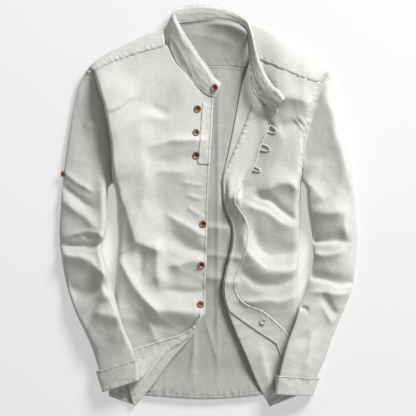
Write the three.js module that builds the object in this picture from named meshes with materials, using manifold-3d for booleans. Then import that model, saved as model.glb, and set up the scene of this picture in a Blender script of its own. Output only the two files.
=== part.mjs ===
import * as THREE from 'three';
import { mergeVertices } from 'three/addons/utils/BufferGeometryUtils.js';
import Module from 'manifold-3d';

// A shirt with a stand collar, laid on its back on a table with its front open.
// Units are millimetres. +Z is up from the table, +Y points to the collar and +X to the
// wearer's left. Right and left in names are the wearer's. Every cloth surface below is the
// middle of its wall, and wall() gives it its thickness.

// Driving sizes
const cloth = 1.4;             // wall of one layer of shirting
const bandCloth = 2.0;         // wall of the interlined collar and cuffs
const backSeamGap = 0.45;      // space left between the back and the yoke
const floorLift = cloth / 2;   // middle of a wall that lies on the table
const buttonRadius = 6.5;
const buttonHeight = 2.8;
const loopCord = 1.5;          // radius of the rolled cord in a button loop
const layerGap = 0.4;          // space between a facing and the panel under it
const curveSteps = 600;        // fineness of the length tables of curves
const weldStep = 1e-4;         // points closer than this are one

const finishes = {
  cloth: { color: 0xe9e8e2, roughness: 0.9 },
  facing: { color: 0xe4e3dc, roughness: 0.9 },
  wood: { color: 0x9c5a32, roughness: 0.45 },
  shell: { color: 0xe6e2da, roughness: 0.9 },
};

// Small maths helpers
const clamp = (value, low = 0, high = 1) => Math.min(high, Math.max(low, value));
const smooth = (value) => {
  const t = clamp(value);
  return t * t * (3 - 2 * t);
};
const mix = (a, b, t) => a + (b - a) * t;
const vec = (x, y, z = 0) => new THREE.Vector3(x, y, z);

// A smooth value from a table: rows are sorted by falling y, and key names the column.
function lookup(rows, key, y) {
  const last = rows.length - 1;
  if (y >= rows[0].y) return rows[0][key];
  if (y <= rows[last].y) return rows[last][key];
  const i = rows.findIndex((row) => row.y <= y) - 1;
  const slope = (k) => {
    const a = rows[Math.max(k - 1, 0)];
    const b = rows[Math.min(k + 1, last)];
    return (b[key] - a[key]) / (b.y - a.y);
  };
  const span = rows[i + 1].y - rows[i].y;
  const t = (y - rows[i].y) / span;
  const rise = rows[i + 1][key] - rows[i][key];
  const bend = t * (1 - t);
  return rows[i][key] + rise * t * t * (3 - 2 * t)
    + span * bend * (slope(i) * (1 - t) - slope(i + 1) * t);
}

// A smooth curve through the points of a table, read by its share of length.
function curveOf(points) {
  const curve = new THREE.CatmullRomCurve3(points.map((p) => vec(p.x, p.y, p.z ?? 0)), false, 'centripetal');
  curve.arcLengthDivisions = curveSteps;
  return (t) => curve.getPointAt(clamp(t));
}

// Folds: a soft ridge (or a trough, where height is negative) along an arc from (x1, y1) to
// (x2, y2). bow pushes its middle to the left of that line, left and right are its
// half widths on each side. It fades out over foldEnd of its length at each end.
const foldEnd = 0.28;
const rightFrontFolds = [
  { name: 'chest tuck',      x1: -202, y1: 202,  x2: -142, y2: 224,  bow: 3,   left: 20, right: 5,  height: 4 },
  { name: 'long chest',      x1: -136, y1: 190,  x2: -112, y2: -60,  bow: 6,   left: 24, right: 20, height: 5 },
  { name: 'under buttons',   x1: -108, y1: 130,  x2: -6,   y2: 120,  bow: -4,  left: 16, right: 11, height: -5 },
  { name: 'waist side',      x1: -178, y1: 40,   x2: -145, y2: -62,  bow: 3,   left: 30, right: 9,  height: 7 },
  { name: 'side tuck',       x1: -186, y1: -88,  x2: -154, y2: -62,  bow: 0,   left: 6,  right: 6,  height: 3 },
  { name: 'fourth button',   x1: -92,  y1: -4,   x2: -14,  y2: -64,  bow: 3,   left: 16, right: 9,  height: 7 },
  { name: 'below button',    x1: -84,  y1: -42,  x2: -18,  y2: -90,  bow: 0,   left: 10, right: 12, height: -4 },
  { name: 'belly short',     x1: -152, y1: -56,  x2: -98,  y2: -104, bow: 4,   left: 18, right: 8,  height: 6 },
  { name: 'belly hollow',    x1: -140, y1: -120, x2: -56,  y2: -158, bow: -6,  left: 14, right: 12, height: -5 },
  { name: 'long sweep',      x1: -184, y1: -112, x2: -16,  y2: -200, bow: -18, left: 17, right: 10, height: 7 },
  { name: 'hem hollow',      x1: -146, y1: -190, x2: -20,  y2: -222, bow: -6,  left: 12, right: 12, height: -2.5 },
];

const leftFrontFolds = [
  { name: 'shoulder point',  x1: 146,  y1: 230,  x2: 198,  y2: 210,  bow: 2,   left: 15, right: 7,  height: 4 },
  { name: 'arm hollow',      x1: 160,  y1: 178,  x2: 194,  y2: 186,  bow: 0,   left: 11, right: 11, height: -4 },
  { name: 'waist high',      x1: 104,  y1: 42,   x2: 182,  y2: 22,   bow: 14,  left: 22, right: 8,  height: 6 },
  { name: 'waist hollow',    x1: 88,   y1: 38,   x2: 174,  y2: -16,  bow: 0,   left: 10, right: 8,  height: -5 },
  { name: 'waist low',       x1: 80,   y1: 16,   x2: 158,  y2: -30,  bow: 0,   left: 8,  right: 24, height: 5 },
  { name: 'crescent hollow', x1: 88,   y1: -32,  x2: 180,  y2: -74,  bow: -20, left: 16, right: 8,  height: -5 },
  { name: 'crescent',        x1: 76,   y1: -64,  x2: 180,  y2: -106, bow: -28, left: 12, right: 14, height: 9 },
  { name: 'low hollow',      x1: 66,   y1: -122, x2: 180,  y2: -124, bow: -28, left: 12, right: 12, height: -5 },
  { name: 'low crescent',    x1: 62,   y1: -160, x2: 168,  y2: -166, bow: -16, left: 12, right: 16, height: 4 },
];

const rightSleeveFolds = [
  { name: 'upper arm',       x1: -282, y1: 160,  x2: -236, y2: 184,  bow: 0,   left: 12, right: 8,  height: 3 },
  { name: 'elbow hollow',    x1: -292, y1: 52,   x2: -232, y2: 12,   bow: 0,   left: 10, right: 10, height: -5 },
  { name: 'elbow long',      x1: -294, y1: 22,   x2: -226, y2: -32,  bow: 0,   left: 14, right: 10, height: 5 },
  { name: 'elbow crease',    x1: -296, y1: -58,  x2: -206, y2: -50,  bow: 14,  left: 12, right: 5,  height: 5 },
  { name: 'elbow pocket',    x1: -296, y1: -64,  x2: -212, y2: -62,  bow: 3,   left: 6,  right: 8,  height: -4 },
  { name: 'forearm roll',    x1: -297, y1: -78,  x2: -214, y2: -78,  bow: -8,  left: 9,  right: 18, height: 7 },
  { name: 'forearm hollow',  x1: -290, y1: -132, x2: -220, y2: -130, bow: 0,   left: 16, right: 14, height: -4 },
  { name: 'wrist hollow',    x1: -226, y1: -212, x2: -178, y2: -238, bow: 0,   left: 14, right: 12, height: -5 },
  { name: 'outer forearm',   x1: -274, y1: -170, x2: -234, y2: -250, bow: 0,   left: 10, right: 12, height: 3 },
];

const leftSleeveFolds = [
  { name: 'long upper arm',  x1: 236,  y1: 236,  x2: 282,  y2: 54,   bow: 0,   left: 9,  right: 28, height: 7 },
  { name: 'armpit hollow',   x1: 192,  y1: 88,   x2: 280,  y2: 42,   bow: 0,   left: 12, right: 9,  height: -5 },
  { name: 'elbow high',      x1: 198,  y1: 22,   x2: 274,  y2: -2,   bow: 4,   left: 16, right: 6,  height: 7 },
  { name: 'elbow pocket',    x1: 204,  y1: -56,  x2: 272,  y2: -54,  bow: 0,   left: 14, right: 6,  height: -6 },
  { name: 'elbow low',       x1: 206,  y1: -80,  x2: 280,  y2: -66,  bow: 0,   left: 7,  right: 9,  height: 6 },
  { name: 'forearm hollow',  x1: 202,  y1: -130, x2: 286,  y2: -144, bow: 0,   left: 14, right: 7,  height: -5 },
  { name: 'forearm roll',    x1: 196,  y1: -158, x2: 284,  y2: -160, bow: 0,   left: 7,  right: 14, height: 5 },
  { name: 'wrist ridge',     x1: 184,  y1: -202, x2: 172,  y2: -304, bow: 0,   left: 15, right: 14, height: 3 },
];

const backFolds = [
  { name: 'box pleat right', x1: -22,  y1: 240,  x2: -30,  y2: -330, bow: 0,   left: 4,  right: 9,  height: 1.6 },
  { name: 'box pleat left',  x1: 18,   y1: 240,  x2: 16,   y2: -300, bow: 0,   left: 9,  right: 4,  height: 1.6 },
];

// Height that a list of folds adds at a point.
function foldsAt(folds, x, y) {
  let height = 0;
  for (const fold of folds) {
    const dx = fold.x2 - fold.x1;
    const dy = fold.y2 - fold.y1;
    const length = Math.hypot(dx, dy);
    const t = ((x - fold.x1) * dx + (y - fold.y1) * dy) / (length * length);
    const ends = smooth((t + foldEnd / 2) / foldEnd) * smooth((1 + foldEnd / 2 - t) / foldEnd);
    if (ends === 0) continue;
    const inside = clamp(t);
    const aside = (dx * (y - fold.y1) - dy * (x - fold.x1)) / length - fold.bow * 4 * inside * (1 - inside);
    const reach = aside > 0 ? fold.left : fold.right;
    height += fold.height * ends * Math.exp(-((aside / reach) ** 2));
  }
  return height;
}

// Closed wall round a grid of points. grid[row][column]; a closed one joins its last column
// to its first, as a tube does.
function wall(grid, thickness, closed = false) {
  const rows = grid.length;
  const columns = grid[0].length;
  const at = (r, c) => grid[r][closed ? (c + columns) % columns : clamp(c, 0, columns - 1)];
  const positions = [];
  const layer = [[], []];
  for (let r = 0; r < rows; r++) {
    for (let c = 0; c < columns; c++) {
      const along = vec(0, 0).subVectors(at(r, c + 1), at(r, c - 1));
      const down = vec(0, 0).subVectors(grid[Math.min(r + 1, rows - 1)][c], grid[Math.max(r - 1, 0)][c]);
      const normal = along.cross(down).normalize().multiplyScalar(thickness / 2);
      const point = grid[r][c];
      layer[0].push(positions.length / 3);
      positions.push(point.x + normal.x, point.y + normal.y, point.z + normal.z);
      layer[1].push(positions.length / 3);
      positions.push(point.x - normal.x, point.y - normal.y, point.z - normal.z);
    }
  }
  const index = [];
  const quad = (a, b, c, d) => index.push(a, b, c, a, c, d);
  const id = (side, r, c) => layer[side][r * columns + (closed ? c % columns : c)];
  const spans = closed ? columns : columns - 1;
  for (let r = 0; r < rows - 1; r++) {
    for (let c = 0; c < spans; c++) {
      quad(id(0, r, c), id(0, r, c + 1), id(0, r + 1, c + 1), id(0, r + 1, c));
      quad(id(1, r, c), id(1, r + 1, c), id(1, r + 1, c + 1), id(1, r, c + 1));
    }
  }
  for (let c = 0; c < spans; c++) {
    quad(id(1, 0, c), id(1, 0, c + 1), id(0, 0, c + 1), id(0, 0, c));
    quad(id(0, rows - 1, c), id(0, rows - 1, c + 1), id(1, rows - 1, c + 1), id(1, rows - 1, c));
  }
  if (!closed) {
    for (let r = 0; r < rows - 1; r++) {
      quad(id(0, r, 0), id(0, r + 1, 0), id(1, r + 1, 0), id(1, r, 0));
      quad(id(1, r, columns - 1), id(1, r + 1, columns - 1), id(0, r + 1, columns - 1), id(0, r, columns - 1));
    }
  }
  const geometry = new THREE.BufferGeometry();
  geometry.setAttribute('position', new THREE.Float32BufferAttribute(positions, 3));
  geometry.setIndex(index);
  return facingOut(geometry);
}

// Six times the signed volume tells which way the faces point.
function facingOut(geometry) {
  const p = geometry.getAttribute('position');
  const i = geometry.index.array;
  const corner = (k) => vec(p.getX(i[k]), p.getY(i[k]), p.getZ(i[k]));
  let volume = 0;
  for (let k = 0; k < i.length; k += 3) volume += corner(k).dot(corner(k + 1).cross(corner(k + 2)));
  if (volume < 0) {
    for (let k = 0; k < i.length; k += 3) [i[k + 1], i[k + 2]] = [i[k + 2], i[k + 1]];
  }
  geometry.computeVertexNormals();
  return geometry;
}

// Moves a grid's points out along their own normals, for what lies on a panel.
function movedOut(grid, distance) {
  return grid.map((row, r) => row.map((point, c) => {
    const along = vec(0, 0).subVectors(row[Math.min(c + 1, row.length - 1)], row[Math.max(c - 1, 0)]);
    const down = vec(0, 0).subVectors(grid[Math.min(r + 1, grid.length - 1)][c], grid[Math.max(r - 1, 0)][c]);
    const normal = along.cross(down).normalize();
    if (normal.z < 0) normal.negate();
    return point.clone().addScaledVector(normal, distance);
  }));
}

// Armholes, from the shoulder down to the underarm
const armholes = {
  right: [
    { x: -229, y: 275 }, { x: -224, y: 257 }, { x: -219, y: 240 }, { x: -209, y: 208 }, { x: -202, y: 172 },
    { x: -196, y: 136 }, { x: -194, y: 100 }, { x: -193, y: 58 },
  ],
  left: [
    { x: 222, y: 255 }, { x: 218, y: 238 }, { x: 214, y: 222 }, { x: 205, y: 192 }, { x: 197, y: 156 },
    { x: 190, y: 128 }, { x: 186, y: 104 }, { x: 184, y: 62 },
  ],
};
const armholeArch = { foot: 4, crown: 17, roundness: 0.6, spare: 2 };

// Height of the armhole seam: an arch from the shoulder point to the underarm.
function armholeHeight(side, y) {
  const seam = armholes[side];
  const top = seam[0].y + armholeArch.spare;
  const share = clamp((top - y) / (top - seam[seam.length - 1].y));
  const arch = (2 * Math.sqrt(share * (1 - share))) ** armholeArch.roundness;
  return mix(armholeArch.foot, armholeArch.crown, arch);
}

// Sections of each front, from the shoulder to the hem. side is where the row starts, fold is
// where the cloth turns over and edge is its free edge. turned is 1 where the cloth is folded
// back over itself and 0 where it lies open.
const rightSections = [
  { sideX: -229, sideY: 275,  foldX: -2,   foldY: 225,  edgeX: 10,   edgeY: 224,  turned: 0 },
  { sideX: -224, sideY: 257,  foldX: -2,   foldY: 214,  edgeX: 9,    edgeY: 214,  turned: 0 },
  { sideX: -219, sideY: 240,  foldX: -3,   foldY: 202,  edgeX: 8,    edgeY: 202,  turned: 0 },
  { sideX: -209, sideY: 208,  foldX: -4,   foldY: 182,  edgeX: 7,    edgeY: 182,  turned: 0 },
  { sideX: -202, sideY: 172,  foldX: -5,   foldY: 158,  edgeX: 6,    edgeY: 158,  turned: 0 },
  { sideX: -196, sideY: 136,  foldX: -7,   foldY: 132,  edgeX: 4,    edgeY: 132,  turned: 0 },
  { sideX: -194, sideY: 100,  foldX: -9,   foldY: 102,  edgeX: 2,    edgeY: 102,  turned: 0 },
  { sideX: -193, sideY: 62,   foldX: -11,  foldY: 68,   edgeX: 0,    edgeY: 68,   turned: 0 },
  { sideX: -187, sideY: 42,   foldX: -12,  foldY: 42,   edgeX: -1,   edgeY: 42,   turned: 0 },
  { sideX: -184, sideY: 12,   foldX: -13,  foldY: 12,   edgeX: -2,   edgeY: 12,   turned: 0 },
  { sideX: -183, sideY: -18,  foldX: -14,  foldY: -18,  edgeX: -3,   edgeY: -18,  turned: 0 },
  { sideX: -181, sideY: -48,  foldX: -15,  foldY: -50,  edgeX: -4,   edgeY: -50,  turned: 0 },
  { sideX: -182, sideY: -78,  foldX: -16,  foldY: -82,  edgeX: -5,   edgeY: -82,  turned: 0 },
  { sideX: -185, sideY: -108, foldX: -17,  foldY: -112, edgeX: -6,   edgeY: -112, turned: 0 },
  { sideX: -187, sideY: -136, foldX: -18,  foldY: -142, edgeX: -7,   edgeY: -142, turned: 0 },
  { sideX: -188, sideY: -160, foldX: -18,  foldY: -170, edgeX: -7,   edgeY: -170, turned: 0 },
  { sideX: -189, sideY: -182, foldX: -19,  foldY: -197, edgeX: -8,   edgeY: -197, turned: 0 },
  { sideX: -190, sideY: -196, foldX: -19,  foldY: -208, edgeX: -10,  edgeY: -207, turned: 0.5 },
  { sideX: -191, sideY: -210, foldX: -21,  foldY: -220, edgeX: -23,  edgeY: -215, turned: 1 },
  { sideX: -192, sideY: -226, foldX: -31,  foldY: -240, edgeX: -35,  edgeY: -232, turned: 1 },
  { sideX: -194, sideY: -246, foldX: -49,  foldY: -264, edgeX: -58,  edgeY: -246, turned: 1 },
  { sideX: -196, sideY: -270, foldX: -74,  foldY: -291, edgeX: -92,  edgeY: -256, turned: 1 },
  { sideX: -198, sideY: -298, foldX: -98,  foldY: -322, edgeX: -124, edgeY: -266, turned: 1 },
  { sideX: -199, sideY: -328, foldX: -121, foldY: -354, edgeX: -150, edgeY: -274, turned: 1 },
  { sideX: -200, sideY: -352, foldX: -138, foldY: -374, edgeX: -166, edgeY: -279, turned: 1 },
  { sideX: -200, sideY: -370, foldX: -152, foldY: -387, edgeX: -178, edgeY: -284, turned: 1 },
];

const leftSections = [
  { sideX: 222, sideY: 255,  foldX: 86,  foldY: 306,  edgeX: 90,  edgeY: 298,  turned: 1 },
  { sideX: 218, sideY: 238,  foldX: 78,  foldY: 284,  edgeX: 87,  edgeY: 276,  turned: 1 },
  { sideX: 214, sideY: 222,  foldX: 70,  foldY: 262,  edgeX: 88,  edgeY: 254,  turned: 1 },
  { sideX: 210, sideY: 208,  foldX: 64,  foldY: 238,  edgeX: 96,  edgeY: 232,  turned: 1 },
  { sideX: 205, sideY: 192,  foldX: 60,  foldY: 218,  edgeX: 117, edgeY: 215,  turned: 1 },
  { sideX: 201, sideY: 174,  foldX: 57,  foldY: 200,  edgeX: 138, edgeY: 201,  turned: 1 },
  { sideX: 197, sideY: 156,  foldX: 53,  foldY: 180,  edgeX: 127, edgeY: 180,  turned: 1 },
  { sideX: 191, sideY: 132,  foldX: 48,  foldY: 153,  edgeX: 116, edgeY: 154,  turned: 1 },
  { sideX: 187, sideY: 108,  foldX: 42,  foldY: 124,  edgeX: 104, edgeY: 126,  turned: 1 },
  { sideX: 185, sideY: 84,   foldX: 36,  foldY: 98,   edgeX: 96,  edgeY: 98,   turned: 1 },
  { sideX: 184, sideY: 64,   foldX: 31,  foldY: 78,   edgeX: 86,  edgeY: 79,   turned: 1 },
  { sideX: 183, sideY: 50,   foldX: 28,  foldY: 62,   edgeX: 77,  edgeY: 63,   turned: 1 },
  { sideX: 183, sideY: 36,   foldX: 28,  foldY: 46,   edgeX: 66,  edgeY: 47,   turned: 1 },
  { sideX: 183, sideY: 24,   foldX: 29,  foldY: 32,   edgeX: 54,  edgeY: 32,   turned: 1 },
  { sideX: 182, sideY: 12,   foldX: 31,  foldY: 18,   edgeX: 54,  edgeY: 17,   turned: 1 },
  { sideX: 182, sideY: -4,   foldX: 36,  foldY: 0,    edgeX: 64,  edgeY: 0,    turned: 1 },
  { sideX: 182, sideY: -20,  foldX: 44,  foldY: -18,  edgeX: 75,  edgeY: -18,  turned: 1 },
  { sideX: 181, sideY: -38,  foldX: 48,  foldY: -36,  edgeX: 80,  edgeY: -38,  turned: 1 },
  { sideX: 181, sideY: -56,  foldX: 49,  foldY: -55,  edgeX: 79,  edgeY: -58,  turned: 1 },
  { sideX: 180, sideY: -76,  foldX: 46,  foldY: -78,  edgeX: 76,  edgeY: -78,  turned: 1 },
  { sideX: 179, sideY: -98,  foldX: 41,  foldY: -98,  edgeX: 69,  edgeY: -98,  turned: 1 },
  { sideX: 178, sideY: -120, foldX: 36,  foldY: -120, edgeX: 59,  edgeY: -120, turned: 1 },
  { sideX: 178, sideY: -146, foldX: 31,  foldY: -148, edgeX: 53,  edgeY: -145, turned: 1 },
  { sideX: 179, sideY: -170, foldX: 32,  foldY: -172, edgeX: 58,  edgeY: -168, turned: 1 },
  { sideX: 179, sideY: -190, foldX: 38,  foldY: -194, edgeX: 76,  edgeY: -186, turned: 1 },
  { sideX: 180, sideY: -214, foldX: 48,  foldY: -221, edgeX: 106, edgeY: -198, turned: 1 },
  { sideX: 181, sideY: -246, foldX: 62,  foldY: -255, edgeX: 134, edgeY: -220, turned: 1 },
  { sideX: 182, sideY: -282, foldX: 78,  foldY: -291, edgeX: 157, edgeY: -245, turned: 1 },
  { sideX: 183, sideY: -316, foldX: 94,  foldY: -331, edgeX: 170, edgeY: -276, turned: 1 },
  { sideX: 184, sideY: -344, foldX: 109, foldY: -363, edgeX: 176, edgeY: -312, turned: 1 },
  { sideX: 184, sideY: -366, foldX: 125, foldY: -389, edgeX: 172, edgeY: -352, turned: 1 },
];

// Heights of each front above the table: crown is its middle, lip is its open side, turn is
// the radius of the folded-over edge and rest is how high the free edge lies above the panel.
const frontHeights = {
  right: [
    { y: 330,  crown: 20, lip: 20, turn: 2.2, rest: 5 },
    { y: 276,  crown: 22, lip: 17, turn: 2.2, rest: 5 },
    { y: 225,  crown: 24, lip: 12, turn: 2.2, rest: 5 },
    { y: 120,  crown: 25, lip: 9,  turn: 2.2, rest: 5 },
    { y: 0,    crown: 23, lip: 9,  turn: 2.2, rest: 5 },
    { y: -90,  crown: 20, lip: 9,  turn: 2.2, rest: 5 },
    { y: -160, crown: 16, lip: 9,  turn: 2.4, rest: 5 },
    { y: -225, crown: 11, lip: 8,  turn: 3,   rest: 5 },
    { y: -290, crown: 7,  lip: 6,  turn: 3,   rest: 5 },
    { y: -390, crown: 5,  lip: 4,  turn: 3,   rest: 5 },
  ],
  left: [
    { y: 330,  crown: 18, lip: 15, turn: 3,   rest: 4 },
    { y: 250,  crown: 22, lip: 12, turn: 3.2, rest: 4 },
    { y: 180,  crown: 23, lip: 10, turn: 3.6, rest: 4.5 },
    { y: 90,   crown: 23, lip: 9,  turn: 4,   rest: 5 },
    { y: 35,   crown: 22, lip: 11, turn: 4.4, rest: 9 },
    { y: -50,  crown: 21, lip: 9,  turn: 4.4, rest: 7 },
    { y: -130, crown: 17, lip: 8,  turn: 4,   rest: 8 },
    { y: -190, crown: 12, lip: 8,  turn: 4,   rest: 6 },
    { y: -260, crown: 7,  lip: 6,  turn: 3.2, rest: 4.5 },
    { y: -390, crown: 5,  lip: 4,  turn: 3,   rest: 4.5 },
  ],
};

const fronts = {
  right: { sections: rightSections, heights: frontHeights.right, folds: rightFrontFolds, inward: 1 },
  left: { sections: leftSections, heights: frontHeights.left, folds: leftFrontFolds, inward: -1 },
};
for (const front of Object.values(fronts)) {
  front.sideLine = front.sections.map((row) => ({ y: row.sideY, x: row.sideX }));
  front.openLine = front.sections.map((row) => ({ y: row.foldY, x: row.foldX }));
}
const frontShape = {
  sideRun: 34, openRun: 62, seamFoot: 1.9, underarm: 6, underarmRun: 18, leastGap: 3.2, leastClimb: 4,
};

// Height of a front's cloth above the table at a point.
function frontHeight(side, x, y) {
  const front = fronts[side];
  const fromSide = Math.max(0, (x - lookup(front.sideLine, 'x', y)) * front.inward);
  const fromOpening = Math.max(0, (lookup(front.openLine, 'x', y) - x) * front.inward);
  const crown = lookup(front.heights, 'crown', y);
  const lip = lookup(front.heights, 'lip', y);
  const seam = armholes[side];
  const aboveArm = y - seam[seam.length - 1].y + frontShape.underarm;
  const foot = mix(frontShape.seamFoot, armholeHeight(side, y), smooth(aboveArm / frontShape.underarmRun));
  const round = 1 - clamp(fromSide / frontShape.sideRun);
  const climb = Math.sqrt(Math.max(0, 1 - round * round));
  const plateau = mix(lip, crown, smooth(fromOpening / frontShape.openRun));
  const folds = foldsAt(front.folds, x, y) * smooth(climb);
  const least = Math.min(frontShape.leastGap, foot + climb * frontShape.leastClimb);
  return Math.max(mix(foot, plateau, climb) + folds, least);
}

// Yoke seam and neckline at the top of each front, from the armhole to the open side
const frontTops = {
  right: curveOf([
    { x: -229, y: 275 }, { x: -205, y: 290 }, { x: -180, y: 300 }, { x: -138, y: 314 }, { x: -100, y: 324 },
    { x: -85, y: 327 }, { x: -77, y: 311 }, { x: -65, y: 290 }, { x: -48, y: 272 }, { x: -32, y: 252 },
    { x: -18, y: 240 }, { x: -2, y: 225 },
  ]),
  left: curveOf([
    { x: 222, y: 255 }, { x: 206, y: 258 }, { x: 180, y: 267 }, { x: 150, y: 279 }, { x: 120, y: 291 },
    { x: 100, y: 300 }, { x: 86, y: 306 },
  ]),
};
const topFade = 0.3;   // share of the length over which rows turn from the top's curve to straight

// Shares of a row's width where the columns lie, close together at the rounded side
const panelColumns = [0, 0.006, 0.03, 0.08, 0.15, 0.23, 0.32, 0.42, 0.52, 0.62, 0.72, 0.82, 0.91, 1];
const turnSteps = 4;
const flapSteps = { right: 4, left: 6 };

// One row of a front: across the panel, round the turned edge and back over the panel.
function frontRow(side, index) {
  const front = fronts[side];
  const row = front.sections[index];
  const top = frontTops[side];
  const start = vec(row.sideX, row.sideY);
  const fold = vec(row.foldX, row.foldY);
  const edge = vec(row.edgeX, row.edgeY);
  const fade = 1 - smooth(index / (front.sections.length * topFade));
  const ground = (p) => vec(p.x, p.y, frontHeight(side, p.x, p.y));
  const under = panelColumns.map((u) => {
    const straight = vec(0, 0).lerpVectors(start, fold, u);
    const bend = top(u).sub(vec(0, 0).lerpVectors(top(0), top(1), u));
    return ground(straight.addScaledVector(bend, fade));
  });
  const foot = under[under.length - 1];
  const out = vec(0, 0).subVectors(fold, start).normalize();
  const radius = lookup(front.heights, 'turn', row.foldY);
  const rest = lookup(front.heights, 'rest', row.edgeY);
  const points = [...under];
  const steps = turnSteps + flapSteps[side];
  for (let k = 1; k <= steps; k++) {
    const open = ground(vec(0, 0).lerpVectors(fold, edge, k / steps));
    const angle = Math.PI * clamp(k / turnSteps);
    const turned = foot.clone().addScaledVector(out, radius * Math.sin(angle));
    turned.z += radius * (1 - Math.cos(angle));
    if (k > turnSteps) {
      const t = (k - turnSteps) / flapSteps[side];
      turned.lerpVectors(fold, edge, t);
      turned.z = frontHeight(side, turned.x, turned.y) + mix(2 * radius, rest, smooth(t));
    }
    points.push(open.lerp(turned, row.turned));
  }
  return points;
}
const frontGrid = (side) => fronts[side].sections.map((row, index) => frontRow(side, index));

// Parts of a front's grid that lie folded over, for what is sewn on them
function flapGrid(side) {
  const first = panelColumns.length + turnSteps - 1;
  return frontGrid(side).map((row) => row.slice(first));
}

// Facing along a turned edge, no wider than the flap it lies on.
const facings = { firstRow: { left: 6, right: 20 }, width: 44, inset: 1.5, leastStart: 0.08, across: 4 };
function facingGrid(side) {
  return flapGrid(side).slice(facings.firstRow[side]).map((row) => {
    const line = curveOf(row);
    const width = line(0).distanceTo(line(1));
    const from = Math.max(1 - facings.width / width, facings.leastStart);
    const to = 1 - facings.inset / width;
    return Array.from({ length: facings.across }, (unused, k) => line(mix(from, to, k / (facings.across - 1))));
  });
}

// Button stand: a strip sewn on the right front's edge, down to the third button.
const stand = { firstRow: 2, lastRow: 6, underPanel: 2, lastSpare: 1 };
function standGrid() {
  const edge = panelColumns.length + turnSteps + flapSteps.right - stand.lastSpare;
  const first = panelColumns.length - stand.underPanel;
  return frontGrid('right').slice(stand.firstRow, stand.lastRow + 1).map((row) => row.slice(first, edge));
}

// Back panel: flat on the table, with two pressed pleats.
const backSeam = { centre: 290, drop: 50, reach: 225, power: 2.2 };
const backSeamY = (x) => backSeam.centre - backSeam.drop * (Math.abs(x) / backSeam.reach) ** backSeam.power;
const backRows = 16;
const backShares = [0, 0.08, 0.2, 0.32, 0.4, 0.44, 0.47, 0.5, 0.53, 0.56, 0.6, 0.68, 0.8, 0.92, 1];
const backInset = 3;   // how far the back's edge lies inside the front's
const backTop = { right: 236, left: 228 };
const backHem = { right: -366, middle: -376, left: -362 };
const backFade = 0.1;   // share of the width over which the pleats flatten out at each side

function backGrid() {
  const edgeX = (side, y) => lookup(fronts[side].sideLine, 'x', y) + backInset * fronts[side].inward;
  return Array.from({ length: backRows }, (unused, r) => {
    const v = r / (backRows - 1);
    return backShares.map((u) => {
      const lowSide = mix(backHem.right, backHem.left, u);
      const low = mix(lowSide, backHem.middle, smooth(1 - Math.abs(2 * u - 1)));
      const rightY = mix(backTop.right, low, v);
      const leftY = mix(backTop.left, low, v);
      const x = mix(edgeX('right', rightY), edgeX('left', leftY), u);
      const high = Math.max(backSeamY(x) - backSeamGap, mix(backTop.right, backTop.left, u));
      const y = mix(high, low, v);
      const edge = smooth(Math.min(u, 1 - u) / backFade);
      return vec(x, y, floorLift + Math.max(0, foldsAt(backFolds, x, y)) * edge);
    });
  });
}

// Yoke: a middle piece on the table and two shoulders that wrap round to the front seams.
const shoulders = {
  right: {
    ridge: curveOf([
      { x: -240, y: 285 }, { x: -230, y: 296 }, { x: -209, y: 311 }, { x: -173, y: 329 }, { x: -130, y: 350 },
      { x: -91.5, y: 364 },
    ]),
    seam: curveOf([
      { x: -229, y: 276.2 }, { x: -205, y: 291.2 }, { x: -180, y: 301.2 }, { x: -138, y: 315.2 },
      { x: -100, y: 325.2 }, { x: -88.6, y: 328 },
    ]),
    backEnds: { arm: -211, neck: -91 },
  },
  left: {
    ridge: curveOf([
      { x: 237, y: 280 }, { x: 228, y: 288 }, { x: 209, y: 301 }, { x: 184, y: 318 }, { x: 148, y: 340 },
      { x: 113, y: 361 }, { x: 82, y: 373 },
    ]),
    seam: curveOf([
      { x: 222, y: 256.2 }, { x: 206, y: 259.2 }, { x: 180, y: 268.2 }, { x: 150, y: 280.2 },
      { x: 120, y: 292.2 }, { x: 100, y: 301.2 }, { x: 85, y: 308.2 },
    ]),
    backEnds: { arm: 205, neck: 82 },
  },
};
const shoulderShape = { columns: 9, onTop: 5, underneath: 4, foot: 30, footShare: 0.7 };

function shoulderGrid(side) {
  const { ridge, seam, backEnds } = shoulders[side];
  return Array.from({ length: shoulderShape.columns }, (unused, r) => {
    const u = r / (shoulderShape.columns - 1);
    const crest = ridge(u);
    const front = seam(u);
    const height = frontHeight(side, front.x, front.y);
    const middle = height / 2;
    const backX = mix(backEnds.arm, backEnds.neck, u);
    const back = vec(backX, backSeamY(backX), floorLift);
    const points = [];
    for (let k = 0; k <= shoulderShape.onTop; k++) {
      const q = Math.sin((Math.PI / 2) * (k / shoulderShape.onTop));
      const p = vec(0, 0).lerpVectors(front, crest, q);
      p.z = middle + (height - middle) * Math.sqrt(1 - q * q);
      points.push(p);
    }
    const run = vec(0, 0).subVectors(back, crest).setZ(0);
    const foot = Math.min(shoulderShape.foot / run.length(), shoulderShape.footShare);
    for (let k = 1; k <= shoulderShape.underneath; k++) {
      const q = Math.cos((Math.PI / 2) * (k / shoulderShape.underneath));
      const p = crest.clone().setZ(0).addScaledVector(run, foot * (1 - q));
      p.z = middle - (middle - floorLift) * Math.sqrt(1 - q * q);
      points.push(p);
    }
    points.push(back);
    return points;
  });
}

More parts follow.
